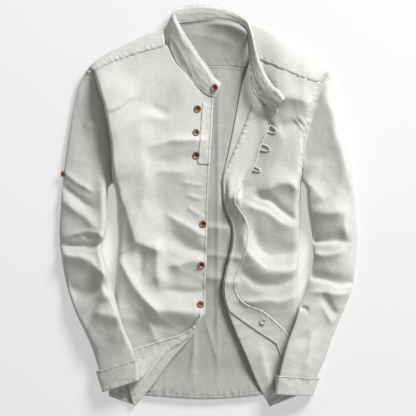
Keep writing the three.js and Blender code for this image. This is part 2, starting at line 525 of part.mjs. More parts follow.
const neckline = curveOf([
  { x: -88, y: 354 }, { x: -82, y: 367 }, { x: -64, y: 375 }, { x: -32, y: 380.5 }, { x: 2, y: 383.5 },
  { x: 35, y: 382.5 }, { x: 58, y: 377 }, { x: 73, y: 368 }, { x: 80, y: 352 },
]);
const yokeMiddle = { columns: 11, rows: 5, right: -88.5, left: 80.5 };
function yokeGrid() {
  return Array.from({ length: yokeMiddle.rows }, (unused, r) => {
    const v = r / (yokeMiddle.rows - 1);
    return Array.from({ length: yokeMiddle.columns }, (none, c) => {
      const u = c / (yokeMiddle.columns - 1);
      const x = mix(yokeMiddle.right, yokeMiddle.left, u);
      const p = neckline(u).lerp(vec(x, backSeamY(x)), v);
      return p.setZ(floorLift);
    });
  });
}

// Collar band, from its button end round the neck to its buttonhole end. low is the neck
// seam, up the free edge.
const collarRows = [
  { lowX: 12,  lowY: 226, lowZ: 17,  upX: 24,  upY: 254, upZ: 22 },
  { lowX: -5,  lowY: 233, lowZ: 18,  upX: 12,  upY: 264, upZ: 26 },
  { lowX: -18, lowY: 243, lowZ: 20,  upX: 2,   upY: 277, upZ: 29 },
  { lowX: -32, lowY: 255, lowZ: 21,  upX: -6,  upY: 290, upZ: 32 },
  { lowX: -48, lowY: 275, lowZ: 22,  upX: -18, upY: 306, upZ: 34 },
  { lowX: -65, lowY: 297, lowZ: 22,  upX: -30, upY: 324, upZ: 37 },
  { lowX: -78, lowY: 322, lowZ: 22,  upX: -44, upY: 344, upZ: 40 },
  { lowX: -87, lowY: 345, lowZ: 19,  upX: -58, upY: 367, upZ: 42 },
  { lowX: -89, lowY: 358, lowZ: 14,  upX: -68, upY: 388, upZ: 42 },
  { lowX: -83, lowY: 369, lowZ: 8,   upX: -69, upY: 400, upZ: 40 },
  { lowX: -66, lowY: 374, lowZ: 2.8, upX: -55, upY: 408, upZ: 36 },
  { lowX: -32, lowY: 379, lowZ: 2.1, upX: -28, upY: 411, upZ: 34 },
  { lowX: 2,   lowY: 382, lowZ: 2.1, upX: 2,   upY: 411, upZ: 36 },
  { lowX: 35,  lowY: 381, lowZ: 2.1, upX: 31,  upY: 403, upZ: 40 },
  { lowX: 60,  lowY: 376, lowZ: 2.8, upX: 58,  upY: 390, upZ: 45 },
  { lowX: 76,  lowY: 369, lowZ: 8,   upX: 76,  upY: 376, upZ: 50 },
  { lowX: 80,  lowY: 345, lowZ: 13,  upX: 85,  upY: 352, upZ: 55 },
  { lowX: 81,  lowY: 318, lowZ: 20,  upX: 92,  upY: 322, upZ: 58 },
  { lowX: 83,  lowY: 290, lowZ: 27,  upX: 102, upY: 292, upZ: 58 },
  { lowX: 86,  lowY: 262, lowZ: 30,  upX: 114, upY: 266, upZ: 55 },
  { lowX: 95,  lowY: 236, lowZ: 32,  upX: 127, upY: 246, upZ: 50 },
  { lowX: 110, lowY: 217, lowZ: 32,  upX: 141, upY: 235, upZ: 45 },
  { lowX: 130, lowY: 201, lowZ: 32,  upX: 148, upY: 222, upZ: 39 },
];
const collarShape = { across: 4, bulge: 2.5 };

function collarGrid() {
  return collarRows.map((row) => {
    const low = vec(row.lowX, row.lowY, row.lowZ);
    const up = vec(row.upX, row.upY, row.upZ);
    return Array.from({ length: collarShape.across }, (unused, k) => {
      const t = k / (collarShape.across - 1);
      const p = vec(0, 0).lerpVectors(low, up, t);
      p.z += collarShape.bulge * 4 * t * (1 - t);
      return p;
    });
  });
}

// Sleeves. outer and inner are the two edges of the flattened tube, top its crest, under its
// underside at the outer edge and over its underside where it lies on the body.
const sleeveRows = {
  right: [
    { outerX: -243, outerY: 280,  innerX: -195, innerY: 56,   top: 17, under: 0.7, over: 0.7, edge: 4 },
    { outerX: -257, outerY: 256,  innerX: -197, innerY: 53,   top: 20, under: 0.7, over: 0.7, edge: 6 },
    { outerX: -268, outerY: 216,  innerX: -199, innerY: 50,   top: 24, under: 0.7, over: 0.7, edge: 8 },
    { outerX: -278, outerY: 160,  innerX: -201, innerY: 47,   top: 27, under: 0.7, over: 0.7, edge: 10 },
    { outerX: -286, outerY: 104,  innerX: -202, innerY: 40,   top: 28, under: 0.7, over: 0.7, edge: 11 },
    { outerX: -292, outerY: 54,   innerX: -203, innerY: 24,   top: 28, under: 0.7, over: 0.7, edge: 11 },
    { outerX: -295, outerY: 14,   innerX: -204, innerY: 2,    top: 27, under: 0.7, over: 0.7, edge: 11 },
    { outerX: -297, outerY: -18,  innerX: -203, innerY: -22,  top: 27, under: 0.7, over: 0.7, edge: 11 },
    { outerX: -298, outerY: -44,  innerX: -205, innerY: -44,  top: 26, under: 0.7, over: 0.7, edge: 10 },
    { outerX: -297, outerY: -66,  innerX: -211, innerY: -64,  top: 26, under: 0.7, over: 0.7, edge: 10 },
    { outerX: -294, outerY: -92,  innerX: -213, innerY: -80,  top: 27, under: 0.7, over: 0.7, edge: 10 },
    { outerX: -290, outerY: -118, innerX: -205, innerY: -106, top: 27, under: 0.7, over: 0.7, edge: 10 },
    { outerX: -284, outerY: -146, innerX: -196, innerY: -142, top: 28, under: 0.7, over: 3,   edge: 11 },
    { outerX: -275, outerY: -178, innerX: -187, innerY: -176, top: 30, under: 0.7, over: 14,  edge: 14 },
    { outerX: -262, outerY: -211, innerX: -178, innerY: -208, top: 33, under: 1.5, over: 17,  edge: 17 },
    { outerX: -246, outerY: -244, innerX: -168, innerY: -238, top: 36, under: 4,   over: 18,  edge: 19 },
    { outerX: -231, outerY: -278, innerX: -156, innerY: -264, top: 38, under: 9,   over: 19,  edge: 21 },
    { outerX: -221, outerY: -310, innerX: -149, innerY: -287, top: 39, under: 13,  over: 19,  edge: 23 },
    { outerX: -215, outerY: -332, innerX: -146, innerY: -309, top: 38, under: 15,  over: 19,  edge: 24 },
    { outerX: -208, outerY: -354, innerX: -143, innerY: -332, top: 36, under: 16,  over: 19,  edge: 25 },
  ],
  left: [
    { outerX: 238,  outerY: 276,  innerX: 186,  innerY: 60,   top: 17, under: 0.7, over: 0.7, edge: 4 },
    { outerX: 252,  outerY: 246,  innerX: 188,  innerY: 57,   top: 20, under: 0.7, over: 0.7, edge: 6 },
    { outerX: 264,  outerY: 196,  innerX: 190,  innerY: 54,   top: 25, under: 0.7, over: 0.7, edge: 9 },
    { outerX: 275,  outerY: 142,  innerX: 192,  innerY: 50,   top: 28, under: 0.7, over: 0.7, edge: 11 },
    { outerX: 283,  outerY: 88,   innerX: 195,  innerY: 42,   top: 29, under: 0.7, over: 0.7, edge: 12 },
    { outerX: 289,  outerY: 44,   innerX: 196,  innerY: 26,   top: 28, under: 0.7, over: 0.7, edge: 11 },
    { outerX: 293,  outerY: 10,   innerX: 198,  innerY: 2,    top: 27, under: 0.7, over: 0.7, edge: 11 },
    { outerX: 295,  outerY: -20,  innerX: 202,  innerY: -22,  top: 27, under: 0.7, over: 0.7, edge: 11 },
    { outerX: 296,  outerY: -44,  innerX: 206,  innerY: -48,  top: 26, under: 0.7, over: 0.7, edge: 10 },
    { outerX: 295,  outerY: -70,  innerX: 208,  innerY: -76,  top: 26, under: 0.7, over: 0.7, edge: 10 },
    { outerX: 293,  outerY: -98,  innerX: 208,  innerY: -104, top: 27, under: 0.7, over: 0.7, edge: 10 },
    { outerX: 290,  outerY: -126, innerX: 202,  innerY: -130, top: 28, under: 0.7, over: 0.7, edge: 11 },
    { outerX: 284,  outerY: -158, innerX: 192,  innerY: -160, top: 29, under: 0.7, over: 1.5, edge: 12 },
    { outerX: 272,  outerY: -190, innerX: 182,  innerY: -190, top: 31, under: 0.7, over: 14,  edge: 15 },
    { outerX: 258,  outerY: -222, innerX: 172,  innerY: -222, top: 33, under: 2,   over: 16,  edge: 17 },
    { outerX: 244,  outerY: -258, innerX: 159,  innerY: -256, top: 35, under: 5,   over: 17,  edge: 19 },
    { outerX: 231,  outerY: -296, innerX: 149,  innerY: -290, top: 37, under: 8,   over: 17,  edge: 21 },
    { outerX: 218,  outerY: -324, innerX: 142,  innerY: -319, top: 37, under: 11,  over: 17,  edge: 22 },
    { outerX: 212,  outerY: -342, innerX: 139,  innerY: -338, top: 36, under: 13,  over: 17,  edge: 23 },
    { outerX: 205,  outerY: -362, innerX: 137,  innerY: -358, top: 34, under: 14,  over: 17,  edge: 23 },
  ],
};
const sleeveShape = {
  points: 18, topRound: 0.6, underRound: 0.4, capRows: 4, seamStep: 1.5, foldFade: 0.45,
  baseStart: 0.02, baseRun: 0.3, underFade: 0.3,
  cuffDrop: 3,   // how far a cuff hangs below its sleeve
};

// The armhole's plan curve for the sleeve, a step outside the fronts' own.
const capCurves = {};
for (const side of ['right', 'left']) {
  const step = sleeveShape.seamStep * fronts[side].inward;
  const first = sleeveRows[side][0];
  capCurves[side] = curveOf([
    { x: first.outerX, y: first.outerY },
    ...armholes[side].slice(0, -1).map((p) => ({ x: p.x - step, y: p.y })),
    { x: first.innerX, y: first.innerY },
  ]);
}

// One ring of a sleeve: over the top from the outer to the inner edge, and back underneath.
function sleeveRing(side, row, index, growth = 0) {
  const outer = vec(row.outerX, row.outerY);
  const inner = vec(row.innerX, row.innerY);
  const across = vec(0, 0).subVectors(inner, outer).normalize();
  outer.addScaledVector(across, -growth);
  inner.addScaledVector(across, growth);
  const cap = capCurves[side];
  const fade = 1 - smooth(index / sleeveShape.capRows);
  const folds = side === 'right' ? rightSleeveFolds : leftSleeveFolds;
  return Array.from({ length: sleeveShape.points }, (unused, k) => {
    const angle = (2 * Math.PI * k) / sleeveShape.points;
    const s = (1 - Math.cos(angle)) / 2;
    const p = vec(0, 0).lerpVectors(outer, inner, s);
    if (fade > 0) p.addScaledVector(cap(s).sub(vec(0, 0).lerpVectors(cap(0), cap(1), s)), fade);
    const level = Math.abs(Math.sin(angle));
    if (angle < Math.PI) {
      p.z = mix(row.edge, row.top + growth, level ** sleeveShape.topRound);
      p.z += foldsAt(folds, p.x, p.y) * smooth(level / sleeveShape.foldFade) * (1 - fade);
    } else {
      const base = mix(row.under, row.over, smooth((s - sleeveShape.baseStart) / sleeveShape.baseRun));
      p.z = mix(row.edge, base, level ** sleeveShape.underRound);
      p.z -= Math.min(growth, sleeveShape.cuffDrop) * smooth(level / sleeveShape.underFade);
    }
    p.z = Math.max(p.z, floorLift);
    return p;
  });
}
const sleeveGrid = (side) => sleeveRows[side].map((row, index) => sleeveRing(side, row, index));

// Turned-up cuffs: a band round the end of each sleeve, with its free edge up the arm.
const cuffs = {
  right: { first: 17, flare: [5.6, 5.2, 5], lift: [{ x: 2, y: -8 }, { x: 1, y: -4 }, { x: 1.4, y: -5 }] },
  left: { first: 17, flare: [4.8, 4.2, 3.8], lift: [{ x: -2.6, y: -8 }, { x: -1.3, y: -4 }, { x: -2, y: -6 }] },
};
function cuffGrid(side) {
  const cuff = cuffs[side];
  return cuff.flare.map((growth, k) => {
    const row = sleeveRows[side][cuff.first + k];
    const ring = sleeveRing(side, row, cuff.first + k, growth);
    return ring.map((p) => vec(p.x + cuff.lift[k].x, p.y + cuff.lift[k].y, p.z));
  });
}

// Open end of the right cuff, lying out past the sleeve as a pointed flap
const cuffFlap = {
  top: [{ x: -141, y: -293, z: 33 }, { x: -124, y: -285, z: 30 }, { x: -106, y: -278, z: 26 }],
  bottom: [{ x: -137, y: -334, z: 32 }, { x: -128, y: -325, z: 29 }, { x: -112, y: -297, z: 25 }],
  rows: 5,
};
function cuffFlapGrid() {
  const top = curveOf(cuffFlap.top);
  const bottom = curveOf(cuffFlap.bottom);
  return Array.from({ length: cuffFlap.rows }, (unused, r) => {
    const u = r / (cuffFlap.rows - 1);
    return [0, 0.5, 1].map((v) => top(u).lerp(bottom(u), v));
  });
}

// Round pieces
const wasm = await Module();
wasm.setup();
function solidOf(geometry) {
  const bare = geometry.clone();
  bare.deleteAttribute('normal');
  bare.deleteAttribute('uv');
  const merged = mergeVertices(bare, weldStep);
  return new wasm.Manifold(new wasm.Mesh({
    numProp: 3,
    vertProperties: new Float32Array(merged.attributes.position.array),
    triVerts: new Uint32Array(merged.index.array),
  }));
}
function geometryOf(solid) {
  const mesh = solid.getMesh();
  const geometry = new THREE.BufferGeometry();
  geometry.setAttribute('position', new THREE.Float32BufferAttribute(mesh.vertProperties, mesh.numProp));
  geometry.setIndex(Array.from(mesh.triVerts));
  return facingOut(geometry);
}

// A dished four-hole button, standing on z = 0.
const buttonShape = {
  foot: 0.86, widest: 0.45, rim: 0.93, dish: 0.62, dishDepth: 1.0, sides: 14,
  holes: 4, holeRadius: 0.9, holePlace: 1.5, holeSides: 5,
};
function buttonGeometry() {
  const r = buttonRadius;
  const h = buttonHeight;
  const profile = [
    [0, 0], [r * buttonShape.foot, 0], [r, h * buttonShape.widest], [r * buttonShape.rim, h],
    [r * buttonShape.dish, h - buttonShape.dishDepth], [0, h - buttonShape.dishDepth],
  ].map(([x, y]) => new THREE.Vector2(x, y));
  const disc = new THREE.LatheGeometry(profile, buttonShape.sides).rotateX(Math.PI / 2);
  let solid = solidOf(facingOut(disc));
  for (let k = 0; k < buttonShape.holes; k++) {
    const angle = (2 * Math.PI * (k + 0.5)) / buttonShape.holes;
    const hole = new THREE.CylinderGeometry(
      buttonShape.holeRadius, buttonShape.holeRadius, h * 3, buttonShape.holeSides,
    );
    hole.rotateX(Math.PI / 2);
    hole.translate(buttonShape.holePlace * Math.cos(angle), buttonShape.holePlace * Math.sin(angle), 0);
    solid = solid.subtract(solidOf(facingOut(hole)));
  }
  return geometryOf(solid);
}

// Where each button is sewn on, and how far its foot stands clear of the cloth
const buttonSeat = 0.5;
const collarButton = { along: 0.55, down: 0.35, clear: 0.8 };
const innerButton = { x: 108, y: -220, scale: 0.85 };
const tabButton = { place: vec(-290.9, 74, 13.5), direction: vec(-0.86, 0.05, 0.5), scale: 0.86 };
const frontButtons = [
  { name: 'button_front_1', x: -23, y: 204 },
  { name: 'button_front_2', x: -26, y: 157 },
  { name: 'button_front_3', x: -26, y: 111 },
  { name: 'button_front_4', x: -12, y: -26 },
  { name: 'button_front_5', x: -15, y: -108 },
  { name: 'button_front_6', x: -17, y: -186 },
];

// Button loops of rolled cord on the left front's edge
const loops = [
  { name: 'loop_1', row: 6.7,  length: 17, width: 13, turn: -23 },
  { name: 'loop_2', row: 8.1,  length: 19, width: 12, turn: -18 },
  { name: 'loop_3', row: 9.75, length: 17, width: 9,  turn: -22 },
];
const loopShape = {
  foot: 0.8,   // room between a loop's ends and the edge it is sewn to
  fullness: 0.8, rise: 1.2, points: 8, steps: 16, sides: 6,
};
function loopGeometry(loop, root) {
  const points = [];
  for (let k = 0; k <= loopShape.points; k++) {
    const angle = Math.PI * (k / loopShape.points);
    const forward = loopShape.foot + loop.length * Math.sin(angle) ** loopShape.fullness;
    points.push(vec(forward, (loop.width / 2) * Math.cos(angle), loopShape.rise * Math.sin(angle)));
  }
  const path = new THREE.CatmullRomCurve3(points);
  const section = new THREE.Shape();
  for (let k = 0; k < loopShape.sides; k++) {
    const angle = (2 * Math.PI * k) / loopShape.sides;
    section[k ? 'lineTo' : 'moveTo'](loopCord * Math.cos(angle), loopCord * Math.sin(angle));
  }
  const tube = new THREE.ExtrudeGeometry(section, {
    steps: loopShape.steps, extrudePath: path, bevelEnabled: false,
  });
  tube.rotateZ(THREE.MathUtils.degToRad(loop.turn));
  tube.translate(root.x, root.y, root.z);
  return tube;
}

// Assembly
const shirt = new THREE.Group();
const materials = Object.fromEntries(Object.entries(finishes).map(([name, finish]) => [
  name, new THREE.MeshStandardMaterial({ ...finish, metalness: 0 }),
]));
function add(name, geometry, material) {
  const mesh = new THREE.Mesh(geometry, materials[material]);
  mesh.name = name;
  shirt.add(mesh);
  return mesh;
}

// Places a button on a point with its axis along a direction.
function addButton(name, point, direction, material = 'wood', scale = 1) {
  const mesh = add(name, buttonGeometry().scale(scale, scale, scale), material);
  mesh.position.copy(point);
  mesh.quaternion.setFromUnitVectors(vec(0, 0, 1), direction.clone().normalize());
  return mesh;
}

// Sews a button on what lies uppermost at (x, y), tilted with the cloth and clear of it.
const above = 200;
function sewButton(name, x, y, cloths, material = 'wood', scale = 1) {
  const down = new THREE.Raycaster();
  const heightAt = (px, py) => {
    down.set(vec(px, py, above), vec(0, 0, -1));
    return above - down.intersectObjects(cloths)[0].distance;
  };
  const reach = buttonRadius * scale;
  const rim = Array.from({ length: 8 }, (unused, k) => {
    const angle = (k * Math.PI) / 4;
    const px = x + reach * Math.cos(angle);
    const py = y + reach * Math.sin(angle);
    return vec(px, py, heightAt(px, py));
  });
  const eastward = vec(0, 0).subVectors(rim[0], rim[4]);
  const northward = vec(0, 0).subVectors(rim[2], rim[6]);
  const normal = eastward.cross(northward).normalize();
  const foot = vec(x, y, heightAt(x, y));
  const lift = Math.max(0, ...rim.map((p) => p.clone().sub(foot).dot(normal)));
  return addButton(name, foot.addScaledVector(normal, lift + buttonSeat), normal, material, scale);
}

add('back', wall(backGrid(), cloth), 'cloth');
add('yoke', wall(yokeGrid(), cloth), 'cloth');
const panels = {};
for (const side of ['right', 'left']) {
  add(`shoulder_${side}`, wall(shoulderGrid(side), cloth), 'cloth');
  panels[side] = add(`front_${side}`, wall(frontGrid(side), cloth), 'cloth');
  add(`sleeve_${side}`, wall(sleeveGrid(side), cloth, true), 'cloth');
  add(`cuff_${side}`, wall(cuffGrid(side), bandCloth, true), 'cloth');
}
add('cuff_right_end', wall(cuffFlapGrid(), bandCloth), 'cloth');
add('collar', wall(collarGrid(), bandCloth), 'cloth');

const facingStep = cloth + layerGap;
for (const side of ['right', 'left']) {
  const name = `facing_${side}`;
  panels[name] = add(name, wall(movedOut(facingGrid(side), facingStep), cloth), 'facing');
}
panels.stand = add('button_stand', wall(movedOut(standGrid(), facingStep), cloth), 'facing');

for (const button of frontButtons) sewButton(button.name, button.x, button.y, [panels.right, panels.stand]);

// Collar button, in the middle of the band near its end
const collarPoints = collarGrid();
const [upper, lower] = [2, 1].map((k) => (
  vec(0, 0).lerpVectors(collarPoints[0][k], collarPoints[1][k], collarButton.along)
));
const collarSeat = upper.lerp(lower, collarButton.down);
const collarAlong = vec(0, 0).subVectors(collarPoints[1][1], collarPoints[0][1]);
const collarUp = vec(0, 0).subVectors(collarPoints[0][2], collarPoints[0][1]);
const collarNormal = collarUp.cross(collarAlong).normalize();
if (collarNormal.z < 0) collarNormal.negate();
collarSeat.addScaledVector(collarNormal, bandCloth / 2 + collarButton.clear);
addButton('button_collar', collarSeat, collarNormal);

// Small pale button on the left facing, near the hem
const under = [panels.left, panels.facing_left];
sewButton('button_inner', innerButton.x, innerButton.y, under, 'shell', innerButton.scale);

// Button of the right sleeve's roll tab, on the outer edge of the arm
addButton('button_tab', tabButton.place, tabButton.direction, 'wood', tabButton.scale);

for (const loop of loops) {
  const grid = flapGrid('left');
  const index = Math.floor(loop.row);
  const root = grid[index].at(-1).clone().lerp(grid[index + 1].at(-1), loop.row - index);
  add(loop.name, loopGeometry(loop, root), 'facing');
}

// The frame's origin is under the middle of the shirt's outline, on the table.
const box = new THREE.Box3().setFromObject(shirt, true);
const part = new THREE.Group();
part.add(shirt);
shirt.position.set(-(box.min.x + box.max.x) / 2, -(box.min.y + box.max.y) / 2, -box.min.z);

export default part;
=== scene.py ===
import math

import bmesh
import bpy
import numpy as np
from mathutils import Matrix, Vector, noise


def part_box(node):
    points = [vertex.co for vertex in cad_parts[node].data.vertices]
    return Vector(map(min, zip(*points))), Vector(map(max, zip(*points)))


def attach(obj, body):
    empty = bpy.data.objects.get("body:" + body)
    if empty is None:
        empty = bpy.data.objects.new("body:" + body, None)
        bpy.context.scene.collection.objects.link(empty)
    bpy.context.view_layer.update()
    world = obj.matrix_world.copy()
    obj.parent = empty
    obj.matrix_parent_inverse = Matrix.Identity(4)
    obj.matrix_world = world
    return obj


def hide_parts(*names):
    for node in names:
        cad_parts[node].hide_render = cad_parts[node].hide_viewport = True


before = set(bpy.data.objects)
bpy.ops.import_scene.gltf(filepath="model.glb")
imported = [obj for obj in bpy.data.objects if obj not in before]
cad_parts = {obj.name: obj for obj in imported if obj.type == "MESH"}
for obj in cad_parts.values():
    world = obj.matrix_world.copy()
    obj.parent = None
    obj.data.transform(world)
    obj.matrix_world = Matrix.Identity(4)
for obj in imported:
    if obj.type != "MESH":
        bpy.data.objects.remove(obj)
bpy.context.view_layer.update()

shirt = {
    "shift": (1.0, -10.61),    # from the drawing's origin to the frame's, mm
    "wall": 0.8,               # cloth
    "bandWall": 1.9,           # interlined collar and cuffs
    "floor": 0.7,              # middle of a wall that lies on the table
    "meshStep": 2.4,           # spacing of the mesh, mm
    "smoothed": 0.97,          # share of a sheet's area that isn't its creases
}


def framed(x, y, z):
    # A place on the drawing, in mm, as one in the frame, in metres
    return (x + shirt["shift"][0]) / 1000, (y + shirt["shift"][1]) / 1000, z / 1000


def clamp(value, low=0.0, high=1.0):
    return np.clip(value, low, high)


def smooth(value):
    t = clamp(value)
    return t * t * (3 - 2 * t)


def mix(a, b, t):
    return a + (b - a) * t


def columns(names, *rows):
    # A table with named columns. A row that ends early keeps the last values of the row before.
    full = [rows[0]]
    for row in rows[1:]:
        full.append((*row, *full[-1][len(row):]))
    return dict(zip(names.split(), np.array(full, float).T))


def sided(names, right, left):
    # A table for each side of the shirt
    return {"right": columns(names, *right), "left": columns(names, *left)}


def columnAt(rows, key, y):
    # A column at a height y on the drawing, where the table's y falls from row to row
    ys, values = rows["y"], rows[key]
    last = len(ys) - 1
    y = clamp(np.asarray(y, float), ys[last], ys[0])
    i = clamp(np.searchsorted(-ys, -y, side="left") - 1, 0, last - 1).astype(int)
    before, after = np.maximum(np.arange(last + 1) - 1, 0), np.minimum(np.arange(last + 1) + 1, last)
    slope = (values[after] - values[before]) / (ys[after] - ys[before])
    span = ys[i + 1] - ys[i]
    t = (y - ys[i]) / span
    rise = values[i + 1] - values[i]
    bend = t * (1 - t)
    return values[i] + rise * smooth(t) + span * bend * (slope[i] * (1 - t) - slope[i + 1] * t)


def between(rows, key, place):
    # A column at a fractional row, on a smooth curve through its values
    values = rows[key]
    last = len(values) - 1
    k = clamp(np.floor(place), 0, last - 1).astype(int)
    t = place - k
    b, c = values[k], values[k + 1]
    a = np.where(k > 0, values[np.maximum(k - 1, 0)], 2 * b - c)
    d = np.where(k < last - 1, values[np.minimum(k + 2, last)], 2 * c - b)
    square, cube = 2 * a - 5 * b + 4 * c - d, 3 * b - a - 3 * c + d
    return 0.5 * (2 * b + (c - a) * t + square * t ** 2 + cube * t ** 3)


curveSteps = 24    # from one point of a curve to the next


def curveThrough(*points):
    # A smooth curve through points, read by its share of length
    p = np.array(points, float)
    p = np.vstack([2 * p[0] - p[1], p, 2 * p[-1] - p[-2]])
    dense = []
    for k in range(1, len(p) - 2):
        gaps = [max(np.linalg.norm(p[k + j] - p[k + j - 1]) ** 0.5, 1e-4) for j in (0, 1, 2)]
        x0, x1, x2, x3 = p[k - 1:k + 3]
        leave = ((x1 - x0) / gaps[0] - (x2 - x0) / (gaps[0] + gaps[1]) + (x2 - x1) / gaps[1]) * gaps[1]
        arrive = ((x2 - x1) / gaps[1] - (x3 - x1) / (gaps[1] + gaps[2]) + (x3 - x2) / gaps[2]) * gaps[1]
        t = np.arange(curveSteps)[:, None] / curveSteps
        dense.append(x1 + (x2 - x1) * smooth(t) + t * (1 - t) * (leave * (1 - t) - arrive * t))
    dense = np.vstack(dense + [p[-2:-1]])
    length = np.concatenate([[0], np.cumsum(np.linalg.norm(np.diff(dense, axis=0), axis=1))])
    share = length / length[-1]
    return lambda t: np.stack([np.interp(clamp(t), share, column) for column in dense.T], -1)


def grain(x, y, size, seed, stretch=1.0, turn=0.0):
    # Smooth noise from about -1 to 1, its features stretched along a direction in degrees
    a = math.radians(turn)
    along = (x * math.cos(a) + y * math.sin(a)) / (size * stretch)
    aside = (y * math.cos(a) - x * math.sin(a)) / size
    flat = zip(np.ravel(along), np.ravel(aside))
    return np.array([noise.noise(Vector((p, q, seed))) for p, q in flat]).reshape(np.shape(x))


# Crumples have sharp crests, as creases in pressed linen. Of a fold, "fall" is how steeply its ridge
# falls, "tip" how round its crest is and "endRun" how far its ends fade out, as a share of its length.
crease = {"level": 0.5, "sharp": 0.7}
foldCrest = {"fall": 1.6, "tip": 0.25, "height": 1.6, "endRun": 0.42}


def crumple(x, y, size, seed, stretch=1.0, turn=0.0):
    return crease["level"] - np.abs(grain(x, y, size, seed, stretch, turn)) ** crease["sharp"]


def foldsAt(folds, x, y):
    # Soft ridges and troughs along arcs from (x1, y1) to (x2, y2), with a half width on each side
    total = np.zeros(np.shape(x))
    endRun, tip = foldCrest["endRun"], foldCrest["tip"]
    for x1, y1, x2, y2, bow, left, right, height in zip(*folds.values()):
        dx, dy = x2 - x1, y2 - y1
        length = math.hypot(dx, dy)
        t = ((x - x1) * dx + (y - y1) * dy) / length ** 2
        ends = smooth((t + endRun / 2) / endRun) * smooth((1 + endRun / 2 - t) / endRun)
        inside = clamp(t)
        aside = (dx * (y - y1) - dy * (x - x1)) / length - bow * 4 * inside * (1 - inside)
        share = aside / np.where(aside > 0, left, right)
        crest = np.exp(foldCrest["fall"] * (tip - np.hypot(share, tip)))
        total += height * ends * (crest if height > 0 else np.exp(-share ** 2))
    return total * foldCrest["height"]


def gridReach(points):
    # Lengths across and down a grid of points, each from both of its edges, in mm
    stepAcross = np.linalg.norm(np.diff(points, axis=1), axis=2)
    stepDown = np.linalg.norm(np.diff(points, axis=0), axis=2)
    left = np.concatenate([np.zeros((len(points), 1)), np.cumsum(stepAcross, 1)], 1)
    top = np.concatenate([np.zeros((1, points.shape[1])), np.cumsum(stepDown, 0)], 0)
    return {"left": left, "right": left[:, -1:] - left, "top": top, "bottom": top[-1:] - top}


def normalsOf(points, closed=False):
    if closed:
        along = np.roll(points, -1, 1) - np.roll(points, 1, 1)
    else:
        along = np.gradient(points, axis=1)
    normal = np.cross(along, np.gradient(points, axis=0))
    return normal / np.maximum(np.linalg.norm(normal, axis=2, keepdims=True), 1e-9)


def upward(normal):
    return normal * np.where(normal[..., 2:] < 0, -1, 1)


# The puckers of a seam. The cloth is thicker by "band" between a seam and its stitches.
puckers = {
    "height": 2.4, "stretch": 2.6, "seed": 1.7, "seedStep": 3.1, "band": 0.8, "step": 1.0, "fade": 6,
    "near": 4, "far": 99, "whole": (0, 900),
}


def sewn(points, seams, closed=False, seed=0.0):
    # Draws a seam's puckers into the cloth, and returns the cloth with its rows of stitches.
    # Each seam names the edge that it follows, its inset, and the height, length and reach of its
    # puckers, and can name the stretch of the edge that it covers, in mm.
    reach = gridReach(points)
    nearest = np.full(points.shape[:2], float(puckers["far"]))
    run = np.zeros(points.shape[:2])
    push = np.zeros(points.shape[:2])
    for k, (edge, inset, height, length, spread, *part) in enumerate(seams):
        first, last = part or puckers["whole"]
        along = reach["top"] if edge in ("left", "right") else reach["left"]
        away = reach[edge] - inset
        covered = smooth((along - first) / puckers["fade"]) * smooth((last - along) / puckers["fade"])
        near = (np.abs(away) < np.abs(nearest)) & (covered > 0.5)
        nearest = np.where(near, away, nearest)
        run = np.where(near, along, run)
        push += puckers["band"] * covered * smooth((puckers["step"] - away) / (2 * puckers["step"]))
        wave = grain(along, away, length, seed + puckers["seedStep"] * k, puckers["stretch"], turn=90)
        push += puckers["height"] * height * wave * covered * np.exp(-((away / spread) ** 2))
    stitch = np.stack([nearest, run, np.abs(nearest) < puckers["near"]], -1)
    normal = normalsOf(points, closed)
    if closed:
        normal = normal * np.sign(normal[:, points.shape[1] // 4, 2].mean())
    else:
        normal = upward(normal)
    return points + normal * push[..., None], stitch


def addPiece(name, data, node, slot, *used):
    # An object with its place in its data, and what the frame has to know of it
    piece = bpy.data.objects.new(name, data)
    bpy.context.scene.collection.objects.link(piece)
    for finish in used:
        data.materials.append(finishes[finish])
    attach(piece, "root")
    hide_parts(node)
    return piece


def meshFrom(shape, name):
    mesh = bpy.data.meshes.new(name)
    shape.to_mesh(mesh)
    shape.free()
    return mesh


def clothPiece(
    node, points, finish, seams, closed=False, wall=shirt["wall"], slot=None,
):
    # A sheet of cloth from a grid of points, in mm, with its seams and its wall
    name = node + "_cloth"
    points, stitch = sewn(points, seams, closed, seed=len(name) * puckers["seed"])
    points[..., 2] = np.maximum(points[..., 2], wall / 2)
    if closed:
        points, stitch = (np.concatenate([grid, grid[:, :1]], 1) for grid in (points, stitch))
    rows, across = points.shape[:2]
    reach = gridReach(points)
    sheet = bmesh.new()
    bmesh.ops.create_grid(sheet, x_segments=across - 1, y_segments=rows - 1, size=0.5)
    cloth = sheet.loops.layers.uv.new("cloth")
    sewing = sheet.verts.layers.float_vector.new("stitch")
    spread = [max(vert.co[k] for vert in sheet.verts) for k in (0, 1)]
    places = {}
    for vert in sheet.verts:
        c = round((vert.co.x / spread[0] + 1) / 2 * (across - 1))
        r = round((1 - vert.co.y / spread[1]) / 2 * (rows - 1))
        places[vert.index] = (r, c)
        vert.co = framed(*points[r, c])
        vert[sewing] = stitch[r, c]
    for face in sheet.faces:
        face.smooth = True
        for loop in face.loops:
            r, c = places[loop.vert.index]
            loop[cloth].uv = (reach["left"][r, c] / 1000, reach["top"][r, c] / 1000)
    if closed:
        bmesh.ops.remove_doubles(sheet, verts=sheet.verts, dist=1e-6)
    bmesh.ops.recalc_face_normals(sheet, faces=sheet.faces)
    area = sum(face.calc_area() for face in sheet.faces)
    piece = addPiece(name, meshFrom(sheet, name), node, slot or finish, finish)
    thick = piece.modifiers.new("wall", "SOLIDIFY")
    thick.thickness = wall / 1000
    thick.offset = 0


